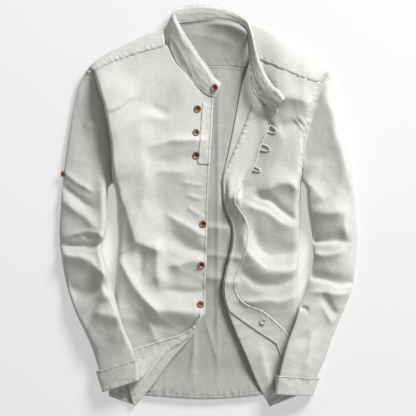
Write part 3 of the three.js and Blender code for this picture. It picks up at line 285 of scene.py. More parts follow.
# Finishes
looks = {
    "cloth": {"colour": (0.62, 0.618, 0.588), "slub": 0.30, "mottle": 0.14, "roughness": 0.88},
    "facing": {"colour": (0.66, 0.658, 0.628), "slub": 0.28, "mottle": 0.12, "roughness": 0.88},
    # Painted shade: the next two colours are darker copies of the cloth, for the back between the fronts
    # and the yoke under the collar, which lie in shade inside the shirt
    "inside": {"colour": (0.44, 0.437, 0.412), "slub": 0.32, "mottle": 0.16, "roughness": 0.9},
    "shadedNeck": {"colour": (0.40, 0.397, 0.375), "slub": 0.32, "mottle": 0.16, "roughness": 0.9},
    # The middle and rim factors darken the dish's floor and the outer rim: painted shade
    "wood": {"light": (0.56, 0.22, 0.085), "dark": (0.24, 0.07, 0.025), "middle": 0.16, "rim": 0.15},
    "woodThread": {"colour": (0.10, 0.035, 0.018)},
    "shellThread": {"colour": (0.60, 0.59, 0.55)},
    "shell": {"colour": (0.70, 0.68, 0.62), "cloud": 0.85},
    "floor": {"colour": (0.42, 0.42, 0.423), "glow": 1.08},
}
weave = {
    "threadPitch": 0.0009,      # metres
    "slubs": ((520, 38, 1), (34, 480, 1)),
    "mottleScale": 22.0,
    "stitchLength": 2.9,        # mm
    "stitchSides": (0.28, 1.12),
    # stitchShade darkens the stitch lines: painted shade of their needle holes and grooves
    "stitchShade": 0.34,
    "dash": (-0.9, -0.3, 0.25),
    "crossingHeight": 0.35,
    "slubHeight": 0.6,
    "stitchHeight": -2.2,
    "bump": 0.00016,
}
woodGrain = {
    "scale": (900, 160, 300), "rings": (0.35, 0.65), "middle": (0.42, 0.66), "rim": (0.74, 0.96),
    "bump": 0.0002,
}


def newMaterial(name, values):
    # A material, its nodes and its shader, with the shader's uniform values set
    material = bpy.data.materials.new(name)
    material.use_nodes = True
    tree = material.node_tree
    shader = tree.nodes["Principled BSDF"]
    for key, value in values.items():
        shader.inputs[key].default_value = value
    return material, tree, shader


def addNode(tree, kind, values=None, **settings):
    made = tree.nodes.new("ShaderNode" + kind)
    for key, value in settings.items():
        setattr(made, key, value)
    for key, value in (values or {}).items():
        if isinstance(value, bpy.types.NodeSocket):
            tree.links.new(value, made.inputs[key])
        else:
            made.inputs[key].default_value = value
    return made


def sumOf(tree, operation, a, b=None, c=None):
    values = {k: v for k, v in enumerate((a, b, c)) if v is not None}
    return addNode(tree, "Math", values, operation=operation).outputs[0]


def productOf(tree, a, b):
    return addNode(tree, "VectorMath", {0: a, 1: b}, operation="MULTIPLY").outputs[0]


def noiseOf(tree, place, scale, detail):
    # Noise at one scale, or stretched by a scale for each axis
    if isinstance(scale, tuple):
        place, scale = addNode(tree, "Mapping", {"Vector": place, "Scale": scale}).outputs[0], 1.0
    return addNode(tree, "TexNoise", {"Vector": place, "Scale": scale, "Detail": detail}).outputs[0]


def rangeOf(tree, value, low, high, start, end, kind="LINEAR"):
    values = {0: value, 1: low, 2: high, 3: start, 4: end}
    return addNode(tree, "MapRange", values, interpolation_type=kind).outputs[0]


def blendOf(tree, factor, a, b):
    values = {0: factor, 6: (*a, 1), 7: (*b, 1)}
    return addNode(tree, "Mix", values, data_type="RGBA").outputs[2]


def addBump(tree, shader, height, strength, distance):
    values = {"Height": height, "Strength": strength, "Distance": distance}
    tree.links.new(addNode(tree, "Bump", values).outputs[0], shader.inputs["Normal"])


def clothFinish(name):
    look = looks[name]
    material, tree, shader = newMaterial(name, {
        "Roughness": look["roughness"], "Specular IOR Level": 0.25, "Sheen Weight": 0.12,
        "Sheen Roughness": 0.6,
    })
    place = addNode(tree, "UVMap", uv_map="cloth").outputs[0]
    slub = sumOf(tree, "ADD", *(noiseOf(tree, place, scale, 2.0) for scale in weave["slubs"]))
    wideTone = noiseOf(tree, place, weave["mottleScale"], 4.0)
    bands = {"Vector": place, "Scale": 2 * math.pi / (20 * weave["threadPitch"]), "Distortion": 0.0}
    threads = [addNode(tree, "TexWave", bands, bands_direction=axis).outputs[1] for axis in ("X", "Y")]
    crossing = sumOf(tree, "MULTIPLY", *threads)
    sewing = addNode(tree, "Attribute", attribute_name="stitch", attribute_type="GEOMETRY").outputs[1]
    away, run, shown = addNode(tree, "SeparateXYZ", {0: sewing}).outputs
    line = rangeOf(tree, sumOf(tree, "ABSOLUTE", away), *weave["stitchSides"], 1.0, 0.0, "SMOOTHSTEP")
    beat = sumOf(tree, "SINE", sumOf(tree, "MULTIPLY", run, 2 * math.pi / weave["stitchLength"]))
    dash = rangeOf(tree, beat, *weave["dash"], 1.0)
    thread = sumOf(tree, "MULTIPLY", sumOf(tree, "MULTIPLY", line, shown), dash)
    tone = sumOf(tree, "MULTIPLY_ADD", slub, look["slub"], 1 - look["slub"] - look["mottle"] / 2)
    tone = sumOf(tree, "MULTIPLY_ADD", wideTone, look["mottle"], tone)
    # Painted shade: the stitch lines darken the colour, as the shade in their needle holes and grooves
    shade = sumOf(tree, "MULTIPLY_ADD", thread, -weave["stitchShade"], 1.0)
    colour = productOf(tree, look["colour"], sumOf(tree, "MULTIPLY", tone, shade))
    tree.links.new(colour, shader.inputs["Base Color"])
    height = sumOf(tree, "MULTIPLY", slub, weave["slubHeight"])
    height = sumOf(tree, "MULTIPLY_ADD", crossing, weave["crossingHeight"], height)
    height = sumOf(tree, "MULTIPLY_ADD", thread, weave["stitchHeight"], height)
    addBump(tree, shader, height, 0.6, weave["bump"])
    return material


def woodFinish():
    look = looks["wood"]
    material, tree, shader = newMaterial("wood", {"Roughness": 0.3, "Coat Weight": 0.3})
    place = addNode(tree, "TexCoord").outputs["Object"]
    rings = noiseOf(tree, place, woodGrain["scale"], 4.0)
    blend = rangeOf(tree, rings, *woodGrain["rings"], 0.0, 1.0)
    ring = addNode(tree, "Attribute", attribute_name="ring", attribute_type="GEOMETRY").outputs[2]
    # Painted shade: the dish's floor and the outer rim of the button are darkened where shade falls
    middle = rangeOf(tree, ring, *woodGrain["middle"], look["middle"], 1.0)
    rim = rangeOf(tree, ring, *woodGrain["rim"], 1.0, look["rim"])
    grained = blendOf(tree, blend, look["light"], look["dark"])
    colour = productOf(tree, grained, sumOf(tree, "MULTIPLY", middle, rim))
    tree.links.new(colour, shader.inputs["Base Color"])
    addBump(tree, shader, rings, 0.4, woodGrain["bump"])
    return material


def shellFinish():
    look = looks["shell"]
    material, tree, shader = newMaterial("shell", {"Roughness": 0.22})
    cloud = noiseOf(tree, addNode(tree, "TexCoord").outputs["Object"], 240.0, 3.0)
    dim = [look["cloud"] * value for value in look["colour"]]
    tree.links.new(blendOf(tree, cloud, look["colour"], dim), shader.inputs["Base Color"])
    return material


def threadFinish(name):
    return newMaterial(name, {"Base Color": (*looks[name]["colour"], 1), "Roughness": 0.8})[0]


def floorFinish():
    colour = (*looks["floor"]["colour"], 1)
    return newMaterial("floor", {
        "Base Color": colour, "Emission Color": colour, "Emission Strength": looks["floor"]["glow"],
        "Roughness": 0.9,
    })[0]


finishes = {name: clothFinish(name) for name in ("cloth", "facing", "inside", "shadedNeck")}
finishes.update({
    "wood": woodFinish(), "shell": shellFinish(), "woodThread": threadFinish("woodThread"),
    "shellThread": threadFinish("shellThread"), "floor": floorFinish(),
})
print("finishes made")

# Folds, in mm: bow pushes the middle of an arc to its left, and left and right are half widths
folds = {}


def foldTable(*rows):
    return columns("x1 y1 x2 y2 bow left right height", *rows)


folds["rightFront"] = foldTable(
    (-202, 195, -148, 224, 0, 22, 3, 3),  # chest tuck
    (-190, 150, -84, 184, 18, 20, 26, 4),  # above the chest
    (-112, 212, -84, 196, 0, 8, 12, -2),
    (-216, 262, -192, 40, 4, 110, 30, 17),  # long chest
    (-138, 176, -128, 0, 4, 24, 30, 4.5),
    (-96, 236, -94, 30, -6, 60, 40, -6),
    (-92, 30, -88, -150, 4, 60, 30, -6),
    (-112, 132, -12, 144, 3, 12, 20, 5.5),  # under the buttons
    (-104, 98, -16, 104, 0, 12, 16, -2),
    (-104, 74, -44, 80, 2, 10, 16, 2),
    (-50, 60, -12, 54, 0, 4, 6, 1.2),
    (-46, 30, -12, 22, 0, 4, 6, 1.4),
    (-42, 6, -12, -6, 0, 5, 6, 1.6),
    (-178, 40, -146, -60, 0, 40, 12, 8),  # waist side
    (-156, -56, -98, -76, 2, 30, 16, 6),
    (-102, -60, -100, -150, -3, 28, 20, 10),  # pocket at the waist
    (-132, -74, -138, -128, 0, 8, 10, -3),
    (-186, -90, -152, -62, 0, 6, 5, 3),  # side tuck
    (-78, -10, -8, -50, 0, 12, 24, 5),  # from the fourth button
    (-74, -50, -8, -90, 0, 12, 14, -4),
    (-74, -112, -8, -96, 0, 10, 30, 8),
    (-80, -160, -8, -162, 0, 8, 12, -3),
    (-180, -98, -106, -204, -3, 13, 18, 9),  # long sweep
    (-122, -192, -10, -200, -6, 26, 30, 10),
    (-144, -190, -98, -262, 0, 8, 12, 2.6),
)
folds["leftFront"] = foldTable(
    (112, 229, 206, 221, 0, 64, 30, 10),  # shoulder
    (98, 304, 130, 244, 0, 44, 12, 4),
    (142, 166, 182, 174, 0, 10, 12, -3),
    (181, 150, 182, -60, 0, 6, 56, 4),
    (172, 182, 190, 156, 0, 4, 4, 1.6),
    (178, 188, 197, 166, 0, 4, 4, 1.4),
    (106, 42, 182, 40, 12, 22, 20, 8),  # waist
    (94, 34, 166, -18, 5, 10, 6, -4),
    (74, 16, 158, -30, 0, 10, 24, 5),
    (84, -38, 178, -80, -24, 22, 12, -4),
    (66, -52, 182, -112, -34, 16, 46, 8),  # crescent
    (66, -126, 178, -120, -26, 16, 10, -3),
    (62, -176, 174, -172, -8, 12, 24, 5),
    (106, 214, 124, 160, 0, 6, 8, -3),  # on the flap
    (34, 32, 60, 26, 0, 30, 24, 9),
    (26, -88, 66, -96, 0, 10, 10, 2.5),
    (30, -140, 60, -142, 0, 8, 12, 2.5),
    (100, -270, 128, -372, 0, 12, 34, 4),  # beside the lower corner
)
folds["rightSleeve"] = foldTable(
    (-250, 172, -206, 186, 0, 6, 16, 4),  # under the shoulder's shadow
    (-290, 76, -236, 40, 0, 10, 6, 3),
    (-292, 48, -236, 10, 0, 8, 10, -3),
    (-207, 78, -209, -150, 0, 8, 30, 10),  # inner edge
    (-294, 18, -226, -32, 4, 18, 14, 5),
    (-298, -60, -204, -58, 17, 18, 6, 4),  # elbow
    (-298, -64, -204, -60, -10, 6, 6, -4),
    (-262, -46, -250, -60, 0, 8, 8, 1.6),
    (-222, -54, -210, -56, 0, 5, 5, 2),
    (-296, -82, -232, -96, -4, 10, 26, 8),
    (-232, -100, -196, -136, 0, 12, 18, 5),
    (-284, -150, -190, -146, -12, 16, 14, -4),
    (-206, -110, -182, -176, 0, 6, 36, 7),
    (-212, -150, -164, -262, 0, 8, 36, 8),
    (-290, -150, -228, -266, 0, 36, 8, 6),  # outer edge
    (-226, -204, -176, -214, 3, 16, 24, 7),
    (-160, -196, -142, -262, 0, 6, 10, 2),
)
folds["leftSleeve"] = foldTable(
    (234, 244, 284, 46, 0, 14, 34, 8),  # long upper arm
    (192, 96, 194, 14, 0, 44, 6, 4),
    (190, 62, 224, 26, 0, 16, 26, 5),
    (186, 2, 268, -4, -2, 50, 24, 10),  # elbow
    (270, 2, 272, -56, 0, 12, 14, 4),
    (202, -60, 272, -60, 0, 14, 6, -6),
    (206, -86, 268, -78, -6, 8, 16, 5),
    (200, -130, 290, -142, -4, 14, 6, -6),
    (206, -162, 278, -164, 0, 8, 16, 4),
    (224, -166, 254, -206, 0, 8, 18, -4),
    (222, -186, 244, -222, 0, 6, 10, 3),
    (178, -260, 230, -212, -6, 10, 14, -3),
    (184, -196, 198, -198, 0, 5, 5, -4),
    (206, -236, 192, -322, 0, 12, 14, 3),
)
folds["yoke"] = foldTable(
    (12, 386, 84, 350, 3, 10, 30, 12),
    (-40, 352, 50, 330, 6, 14, 18, 1.5),
)
folds["back"] = foldTable(
    (-22, 240, -30, -330, 0, 4, 9, 1.6),  # box pleat
    (18, 240, 16, -300, 0, 9, 4, 1.6),
    (-6, -222, 16, -297, 0, 5, 5, 1.4),
    (-30, -272, -38, -330, 0, 5, 5, 1.2),
    (70, 60, 40, -180, 0, 12, 8, 2),
    (-30, 24, 34, 20, 0, 90, 60, 3.5),  # across the opening
    (-14, -30, 50, -36, 0, 10, 30, 4),
    (-12, -86, 44, -92, 0, 8, 12, 2),
    (-12, -132, 44, -136, 0, 14, 16, 3.5),
)

# Armholes, from the shoulder to the underarm, and their arch
armholes = sided("x y", [
    (-229, 275), (-224, 257), (-219, 240), (-209, 208), (-202, 172), (-196, 136), (-194, 100),
    (-193, 58),
], [
    (222, 255), (218, 238), (214, 222), (205, 192), (197, 156), (190, 128), (186, 104), (184, 62),
])
armholeArch = {
    "top": {"right": 22, "left": 17}, "foot": 15, "crown": {"right": 16, "left": 18}, "roundness": 0.6,
    "spare": 2, "footShare": 0.25,
}


def armholeHeight(side, y):
    arch, ys = armholeArch, armholes[side]["y"]
    high = ys[0] + arch["spare"]
    share = clamp((high - y) / (high - ys[-1]))
    bulge = (2 * np.sqrt(share * (1 - share))) ** arch["roundness"]
    foot = mix(arch["top"][side], arch["foot"], smooth(share / arch["footShare"]))
    return mix(foot, arch["crown"][side], bulge)


# Sections of the fronts from shoulder to hem: where each starts, turns over and ends
sections = sided("sideX sideY foldX foldY edgeX edgeY turned", [
    (-229, 275, -2, 225, 10, 224, 0), (-224, 257, -2, 214, 9, 214), (-219, 240, -3, 202, 8, 202),
    (-209, 208, -4, 182, 7, 182), (-202, 172, -5, 158, 6, 158), (-196, 136, -7, 132, 4, 132),
    (-194, 100, -9, 102, 2, 102), (-193, 62, -11, 68, 0, 68), (-187, 42, -12, 42, -1, 42),
    (-184, 12, -13, 12, -2, 12), (-183, -18, -14, -18, -3, -18), (-181, -48, -15, -50, -4, -50),
    (-182, -78, -16, -82, -5, -82), (-185, -108, -17, -112, -6, -112),
    (-187, -136, -18, -142, -7, -142), (-188, -160, -18, -170, -7, -170),
    (-189, -182, -19, -197, -8, -197), (-190, -196, -19, -208, -10, -207, 0.5),
    (-191, -210, -21, -220, -23, -215, 1), (-192, -226, -31, -240, -35, -232),
    (-194, -246, -49, -264, -58, -246), (-196, -270, -74, -291, -92, -256),
    (-198, -298, -98, -322, -124, -266), (-199, -328, -121, -354, -150, -274),
    (-200, -352, -138, -374, -166, -279), (-200, -370, -152, -387, -178, -284),
], [
    (222, 255, 86, 306, 90, 298, 1), (218, 238, 78, 284, 87, 276), (214, 222, 70, 262, 88, 254),
    (210, 208, 64, 238, 96, 232), (205, 192, 60, 218, 117, 215), (201, 174, 57, 200, 138, 201),
    (197, 156, 53, 180, 127, 180), (191, 132, 48, 153, 116, 154), (187, 108, 42, 124, 104, 126),
    (185, 84, 36, 98, 96, 98), (184, 64, 31, 78, 86, 79), (183, 50, 28, 62, 77, 63),
    (183, 36, 28, 46, 66, 47), (183, 24, 29, 32, 54, 32), (182, 12, 31, 18, 54, 17),
    (182, -4, 36, 0, 64, 0), (182, -20, 44, -18, 75, -18), (181, -38, 48, -36, 80, -38),
    (181, -56, 49, -55, 79, -58), (180, -76, 46, -78, 76, -78), (179, -98, 41, -98, 69, -98),
    (178, -120, 36, -120, 59, -120), (178, -146, 31, -148, 53, -145), (179, -170, 32, -172, 58, -168),
    (179, -190, 38, -194, 76, -186), (180, -214, 48, -221, 106, -198),
    (181, -246, 62, -255, 134, -220), (182, -282, 78, -291, 157, -245),
    (183, -316, 94, -331, 170, -276), (184, -344, 109, -363, 176, -312),
    (184, -366, 125, -389, 172, -352),
])
frontHeights = sided("y crown lip flat run turn rest", [
    (330, 26, 26, 0, 62, 2.2, 5), (276, 26, 20), (225, 26, 16), (120, 26, 18), (0, 20), (-90, 19),
    (-160, 17, 16, 0, 62, 2.4), (-210, 14, 12, 0, 62, 3), (-240, 8, 7), (-290, 6, 5), (-390, 4, 4),
], [
    (330, 27, 15, 14, 62, 3, 4), (285, 25, 10, 16, 62, 1.8, 2.6), (250, 22, 4, 26, 62, 1.0, 2.2),
    (180, 21, 2, 42), (90, 21, 2, 40), (50, 20, 3, 24, 50, 1.4, 4), (25, 19, 3, 2, 36, 1.6, 5),
    (-25, 20, 3, -6, 38, 1.8), (-60, 18, 5, -4, 38, 2.2), (-130, 15, 11, 10, 62, 3, 6),
    (-190, 12, 7, 24, 62, 3, 5), (-260, 7, 6, 30, 62, 3.2, 4.5), (-390, 5, 4, 30, 62, 3),
])
frontTopLines = {
    "right": [
        (-229, 275), (-205, 290), (-180, 300), (-138, 314), (-100, 324), (-85, 327), (-77, 311),
        (-65, 290), (-48, 272), (-32, 252), (-18, 240), (-2, 225),
    ],
    "left": [(222, 255), (206, 258), (180, 267), (150, 279), (120, 291), (100, 300), (86, 306)],
}
frontTops = {side: curveThrough(*line) for side, line in frontTopLines.items()}
fronts = {
    side: {
        "inward": inward,
        "folds": folds[side + "Front"],
        "sideLine": {"y": sections[side]["sideY"], "x": sections[side]["sideX"]},
        "openLine": {"y": sections[side]["foldY"], "x": sections[side]["foldX"]},
    }
    for side, inward in (("right", 1), ("left", -1))
}
frontShape = {
    "sideRun": {"right": 14, "left": 15}, "armRun": {"right": 6, "left": 18}, "armFade": 50,
    "seamFoot": 1.9, "seamSpare": 6, "seamFade": 18, "leastGap": {"right": 3.2, "left": 2.3},
    "leastClimb": 4, "topFade": 0.3, "columnPower": 1.3, "wander": 7, "wanderSize": 45,
}
linen = {
    "crease": 1.3, "chest": 0.6, "fine": 0.3, "chestTurn": {"right": 84, "left": 96},
    "waistTurn": {"right": -24, "left": 14}, "waistFrom": 40, "waistRun": 140,
}


def creases(side, x, y):
    # Small creases of the linen, longer up and down the chest and across the waist
    chest = crumple(x, y, size=30, seed=4.0, stretch=2.6, turn=linen["chestTurn"][side])
    waist = crumple(x, y, size=26, seed=7.0, stretch=2.2, turn=linen["waistTurn"][side])
    fine = crumple(x, y, size=11, seed=9.0, stretch=1.8, turn=20)
    low = smooth((linen["waistFrom"] - y) / linen["waistRun"])
    return linen["crease"] * (mix(chest * linen["chest"], waist, low) + linen["fine"] * fine)


def wandered(x, y, reach, size, seed):
    # A place moved a little, so that the folds there don't run straight
    return x + reach * grain(x, y, size, seed), y + reach * grain(x, y, size, seed + 1)


def frontHeight(side, x, y):
    front, heights, shape = fronts[side], frontHeights[side], frontShape
    fromSide = np.maximum(0, (x - columnAt(front["sideLine"], "x", y)) * front["inward"])
    fromOpening = np.maximum(0, (columnAt(front["openLine"], "x", y) - x) * front["inward"])
    fromSeamEnd = y - armholes[side]["y"][-1]
    seamed = smooth((fromSeamEnd + shape["seamSpare"]) / shape["seamFade"])
    foot = mix(shape["seamFoot"], armholeHeight(side, y), seamed)
    run = mix(shape["sideRun"][side], shape["armRun"][side], smooth(fromSeamEnd / shape["armFade"]))
    climb = np.sqrt(np.maximum(0, 1 - (1 - clamp(fromSide / run)) ** 2))
    lip, crown = columnAt(heights, "lip", y), columnAt(heights, "crown", y)
    raised = fromOpening - columnAt(heights, "flat", y)
    plateau = mix(lip, crown, smooth(raised / columnAt(heights, "run", y)))
    ridges = foldsAt(front["folds"], *wandered(x, y, shape["wander"], shape["wanderSize"], 1.0))
    loose = (ridges + creases(side, x, y)) * smooth(climb)
    least = np.minimum(shape["leastGap"][side], foot + climb * shape["leastClimb"])
    return np.maximum(mix(foot, plateau, climb) + loose, least)


def heightAt(side, x, y):
    return float(frontHeight(side, np.array(x), np.array(y)))


def onFront(side, plan, lift=0.0):
    # Places on the drawing, each with its height on a front
    return np.dstack([plan, frontHeight(side, plan[..., 0], plan[..., 1]) + lift])


def evenPlaces(rows, pairs, step=shirt["meshStep"], samples=900):
    # Fractional rows of a table, evenly spaced along the mean of the lines that pairs name
    place = np.linspace(0, len(rows[pairs[0] + "X"]) - 1, samples)
    travelled = np.zeros(len(place))
    for name in pairs:
        line = np.stack([between(rows, name + axis, place) for axis in "XY"], -1)
        travelled[1:] += np.cumsum(np.linalg.norm(np.diff(line, axis=0), axis=1)) / len(pairs)
    count = int(round(travelled[-1] / step)) + 1
    return np.interp(np.linspace(0, travelled[-1], count), travelled, place)


def frontPoints(side, across=74, turning=9, over=34):
    rows = sections[side]
    place = evenPlaces(rows, ("side", "fold"))
    at = {key: between(rows, key, place) for key in rows}
    start, fold, edge = (
        np.stack([at[name + axis] for axis in "XY"], -1)[:, None] for name in ("side", "fold", "edge")
    )
    share = np.linspace(0, 1, across) ** frontShape["columnPower"]
    top = frontTops[side]
    bend = top(share) - mix(top(0), top(1), share[:, None])
    fade = 1 - smooth(place / (len(rows["turned"]) * frontShape["topFade"]))
    under = onFront(side, mix(start, fold, share[:, None]) + bend * fade[:, None, None])
    foot = under[:, -1:]
    out = (fold - start) / np.linalg.norm(fold - start, axis=2, keepdims=True)
    radius = columnAt(frontHeights[side], "turn", at["foldY"])[:, None]
    rest = columnAt(frontHeights[side], "rest", at["edgeY"])[:, None]
    steps = np.arange(1, turning + over + 1)
    openPart = onFront(side, mix(fold, edge, (steps / (turning + over))[:, None]))
    angle = math.pi * clamp(steps / turning)
    arcPlan = foot[..., :2] + out * (radius * np.sin(angle))[..., None]
    arcPart = np.dstack([arcPlan, foot[..., 2] + radius * (1 - np.cos(angle))])
    t = clamp((steps - turning) / over)
    flapPart = onFront(side, mix(fold, edge, t[:, None]), mix(2 * radius, rest, smooth(t)))
    folded = np.where((steps <= turning)[:, None], arcPart, flapPart)
    beyond = mix(openPart, folded, clamp(at["turned"])[:, None, None])
    return np.concatenate([under, beyond], 1), {"flap": across + turning - 1, "place": place}


def tuckedUnder(points, drop, length):
    # Seam allowance: one more row past the first, let down under the piece that it is sewn to
    step = points[0] - points[1]
    extra = points[0] + step * (length / np.maximum(np.linalg.norm(step, axis=-1, keepdims=True), 1e-6))
    extra[..., 2] -= drop
    return np.concatenate([extra[None], points], 0)


frontGrids = {}


def makeFront(side):
    points, made = frontPoints(side)
    frontGrids[side] = (points, made)
    seams = [
        ("top", 2.5, 0.5, 7, 6, 4, 900), ("left", 4.5, 0.8, 8, 8, 0, 215), ("bottom", 8, 0.5, 8, 8),
        ("right", 4, 0.4, 8, 7),
    ]
    clothPiece(f"front_{side}", tuckedUnder(points, 1.6, 3.0), "cloth", seams)


for side in ("right", "left"):
    makeFront(side)
print("fronts made")


def movedOut(points, distance):
    return points + upward(normalsOf(points)) * distance


def placesOn(line, reach, at):
    # Places on a line of points, at given lengths along it
    return np.stack([np.interp(at, reach, line[:, k]) for k in range(3)], -1)


# Facings and button stand, which lie on the fronts. A ramp says between which two heights on the
# drawing, and how far, a facing's inner edge leaves the fold.
facings = {
    "left": {"inset": 0.6, "first": 4.2, "columns": 20, "ramps": ((74, 232, 31), (-198, -298, 64))},
    "right": {"inset": 0.8, "first": 18.6, "columns": 16, "ramps": ((-250, -290, 14),)},
    "stand": {
        "first": 1.3, "last": 6.3, "width": 24, "edge": 0.6, "columns": 12, "wall": 0.5, "lift": 0.75,
    },
    "lift": 1.15, "least": 0.5, "narrowest": 6,
}


def facingPoints(side):
    points, made = frontGrids[side]
    spec = facings[side]
    flap = points[made["place"] >= spec["first"]][:, made["flap"]:]
    reach = gridReach(flap)["left"]
    high = reach[:, -1] - spec["inset"]
    low = np.full(len(flap), facings["least"])
    for start, end, most in spec["ramps"]:
        low = np.maximum(low, most * clamp((flap[:, 0, 1] - start) / (end - start)))
    low = np.minimum(low, high - facings["narrowest"])
    places = np.linspace(low, high, spec["columns"], axis=1)
    rows = [placesOn(line, reach[r], places[r]) for r, line in enumerate(flap)]
    return movedOut(np.array(rows), facings["lift"])


def standPoints():
    points, made = frontGrids["right"]
    spec = facings["stand"]
    rows = points[(made["place"] >= spec["first"]) & (made["place"] <= spec["last"])][:, ::-1]
    reach = gridReach(rows)["left"]
    places = np.linspace(spec["width"], spec["edge"], spec["columns"])
    strip = [placesOn(line, reach[r], places) for r, line in enumerate(rows)]
    return movedOut(np.array(strip), spec["lift"])


clothPiece(
    "facing_left", facingPoints("left"), "facing",
    [("left", 3.5, 2.0, 4, 5, 0, 150), ("left", 3.5, 0.3, 7, 5, 150, 900), ("right", 3, 0.8, 6, 6)],
)
clothPiece(
    "facing_right", facingPoints("right"), "facing",
    [("left", 2.5, 0.4, 7, 6), ("right", 3, 0.6, 7, 6)],
)
clothPiece(
    "button_stand", standPoints(), "facing",
    [("left", 1.5, 0.3, 7, 5), ("right", 3, 0.4, 7, 5), ("bottom", 2, 0.2, 6, 4)],
    wall=facings["stand"]["wall"],
)
print("facings made")

# Back and yoke, on the table
backSeam = {"centre": 290, "drop": 50, "reach": 225, "power": 2.2}
backPanel = {
    "inset": 3, "top": {"right": 236, "left": 228}, "hem": {"right": -366, "middle": -376, "left": -362},
    "seamGap": 0.45, "sideFade": 0.1, "ripple": 0.9, "rippleMean": 0.6, "hemLift": 9, "hemShare": 0.1,
    "tucked": 6, "clearance": 1.2, "across": 150, "down": 250,
}


def backSeamY(x):
    return backSeam["centre"] - backSeam["drop"] * (np.abs(x) / backSeam["reach"]) ** backSeam["power"]


def backPoints():
    spec, top, hem = backPanel, backPanel["top"], backPanel["hem"]
    u = np.linspace(0, 1, spec["across"])[None, :]
    v = np.linspace(0, 1, spec["down"])[:, None]
    low = mix(mix(hem["right"], hem["left"], u), hem["middle"], smooth(1 - np.abs(2 * u - 1)))
    edges = [
        columnAt(front["sideLine"], "x", mix(top[side], low, v)) + spec["inset"] * front["inward"]
        for side, front in fronts.items()
    ]
    x = mix(*edges, u)
    high = np.maximum(backSeamY(x) - spec["seamGap"], mix(top["right"], top["left"], u))
    y = mix(high, low, v)
    edge = smooth(np.minimum(u, 1 - u) / spec["sideFade"])
    ripple = grain(x, y, size=38, seed=21.0, stretch=2.4, turn=88) + spec["rippleMean"]
    ripple = spec["ripple"] * (ripple + crumple(x, y, size=15, seed=22.0, stretch=2.2, turn=70))
    waves = np.maximum(0, foldsAt(folds["back"], x, y)) + np.maximum(0, ripple)
    lifted = spec["hemLift"] * smooth((v - 1 + spec["hemShare"]) / spec["hemShare"])
    z = shirt["floor"] + (waves + lifted) * edge
    for side, front in fronts.items():
        inside = (columnAt(front["openLine"], "x", y) - x) * front["inward"] > -spec["tucked"]
        room = np.maximum(frontHeight(side, x, y) - spec["clearance"], shirt["floor"])
        z = np.where(inside, np.minimum(z, room), z)
    return np.dstack([x, y, z])


# The back gets the darker inside colour: painted shade inside the shirt
clothPiece(
    "back", backPoints(), "inside", [("top", 3, 0.3, 8, 6), ("bottom", 9, 1.6, 8, 7)], slot="cloth",
)

# The shoulder pieces come from the back seam over the ridge to the top of each front
shoulders = {
    "right": {
        "ridge": [(-240, 285), (-230, 296), (-209, 311), (-173, 329), (-130, 350), (-91.5, 364)],
        "seamPoints": 5, "seamEnd": (-88.6, 328), "backArm": -211, "backNeck": -91,
    },
    "left": {
        "ridge": [(237, 280), (228, 288), (209, 301), (184, 318), (148, 340), (113, 361), (82, 373)],
        "seamPoints": 6, "seamEnd": (85, 308.2), "backArm": 205, "backNeck": 82,
    },
}
shoulderShape = {
    "along": 72, "over": 20, "beneath": 12, "foot": 30, "mostFoot": 0.7, "seamGap": 1.2,
    "ripple": 0.9, "ridgeRipple": 0.3, "seamFade": 0.2, "fall": 1.6, "roundness": 0.8,
}


def shoulderPoints(side):
    spec, shape = shoulders[side], shoulderShape
    u = np.linspace(0, 1, shape["along"])
    seam = [(x, y + shape["seamGap"]) for x, y in frontTopLines[side][:spec["seamPoints"]]]
    crest = curveThrough(*spec["ridge"])(u)[:, None]
    front = curveThrough(*seam, spec["seamEnd"])(u)[:, None]
    height = frontHeight(side, front[..., 0], front[..., 1])
    middle = height / 2
    backX = mix(spec["backArm"], spec["backNeck"], u)
    back = np.stack([backX, backSeamY(backX)], -1)[:, None]
    q = np.sin(np.linspace(0, math.pi / 2, shape["over"]))
    over = mix(front, crest, q[:, None])
    ripple = crumple(over[..., 0], over[..., 1], size=24, seed=31.0, stretch=2.0, turn=60)
    ripple = shape["ripple"] * ripple * mix(1, shape["ridgeRipple"], smooth(q))
    dome = (1 - q ** shape["fall"]) ** shape["roundness"]
    overZ = middle + (height - middle) * dome + ripple * smooth(q / shape["seamFade"])
    run = back - crest
    foot = np.minimum(shape["foot"] / np.linalg.norm(run, axis=2, keepdims=True), shape["mostFoot"])
    q = np.cos(np.linspace(0, math.pi / 2, shape["beneath"]))[1:]
    beneath = crest + run * foot * (1 - q)[:, None]
    beneathZ = middle - (middle - shirt["floor"]) * np.sqrt(1 - q * q)
    tail = np.dstack([back, np.full((len(u), 1), shirt["floor"])])
    return np.concatenate([np.dstack([over, overZ]), np.dstack([beneath, beneathZ]), tail], 1)


for side in ("right", "left"):
    clothPiece(
        f"shoulder_{side}", tuckedUnder(shoulderPoints(side), 1.0, 6.0), "cloth",
        [("left", 3, 1.0, 5, 6), ("top", 4, 0.8, 6, 6, 0, 60)],
    )

neckline = curveThrough(
    (-88, 354), (-82, 367), (-64, 375), (-32, 380.5), (2, 383.5), (35, 382.5), (58, 377), (73, 368),
    (80, 352),
)
# The yoke lifts toward the wearer's left shoulder. Its ripples and folds fade toward its edges.
yoke = {
    "grid": (70, 44), "ends": (-88.5, 80.5), "height": 7, "from": 25, "to": 81,
    "ripple": 0.8, "rippleMean": 0.4, "fade": {"right": 0.16, "left": 0.05, "top": 0.12, "bottom": 0.2},
}


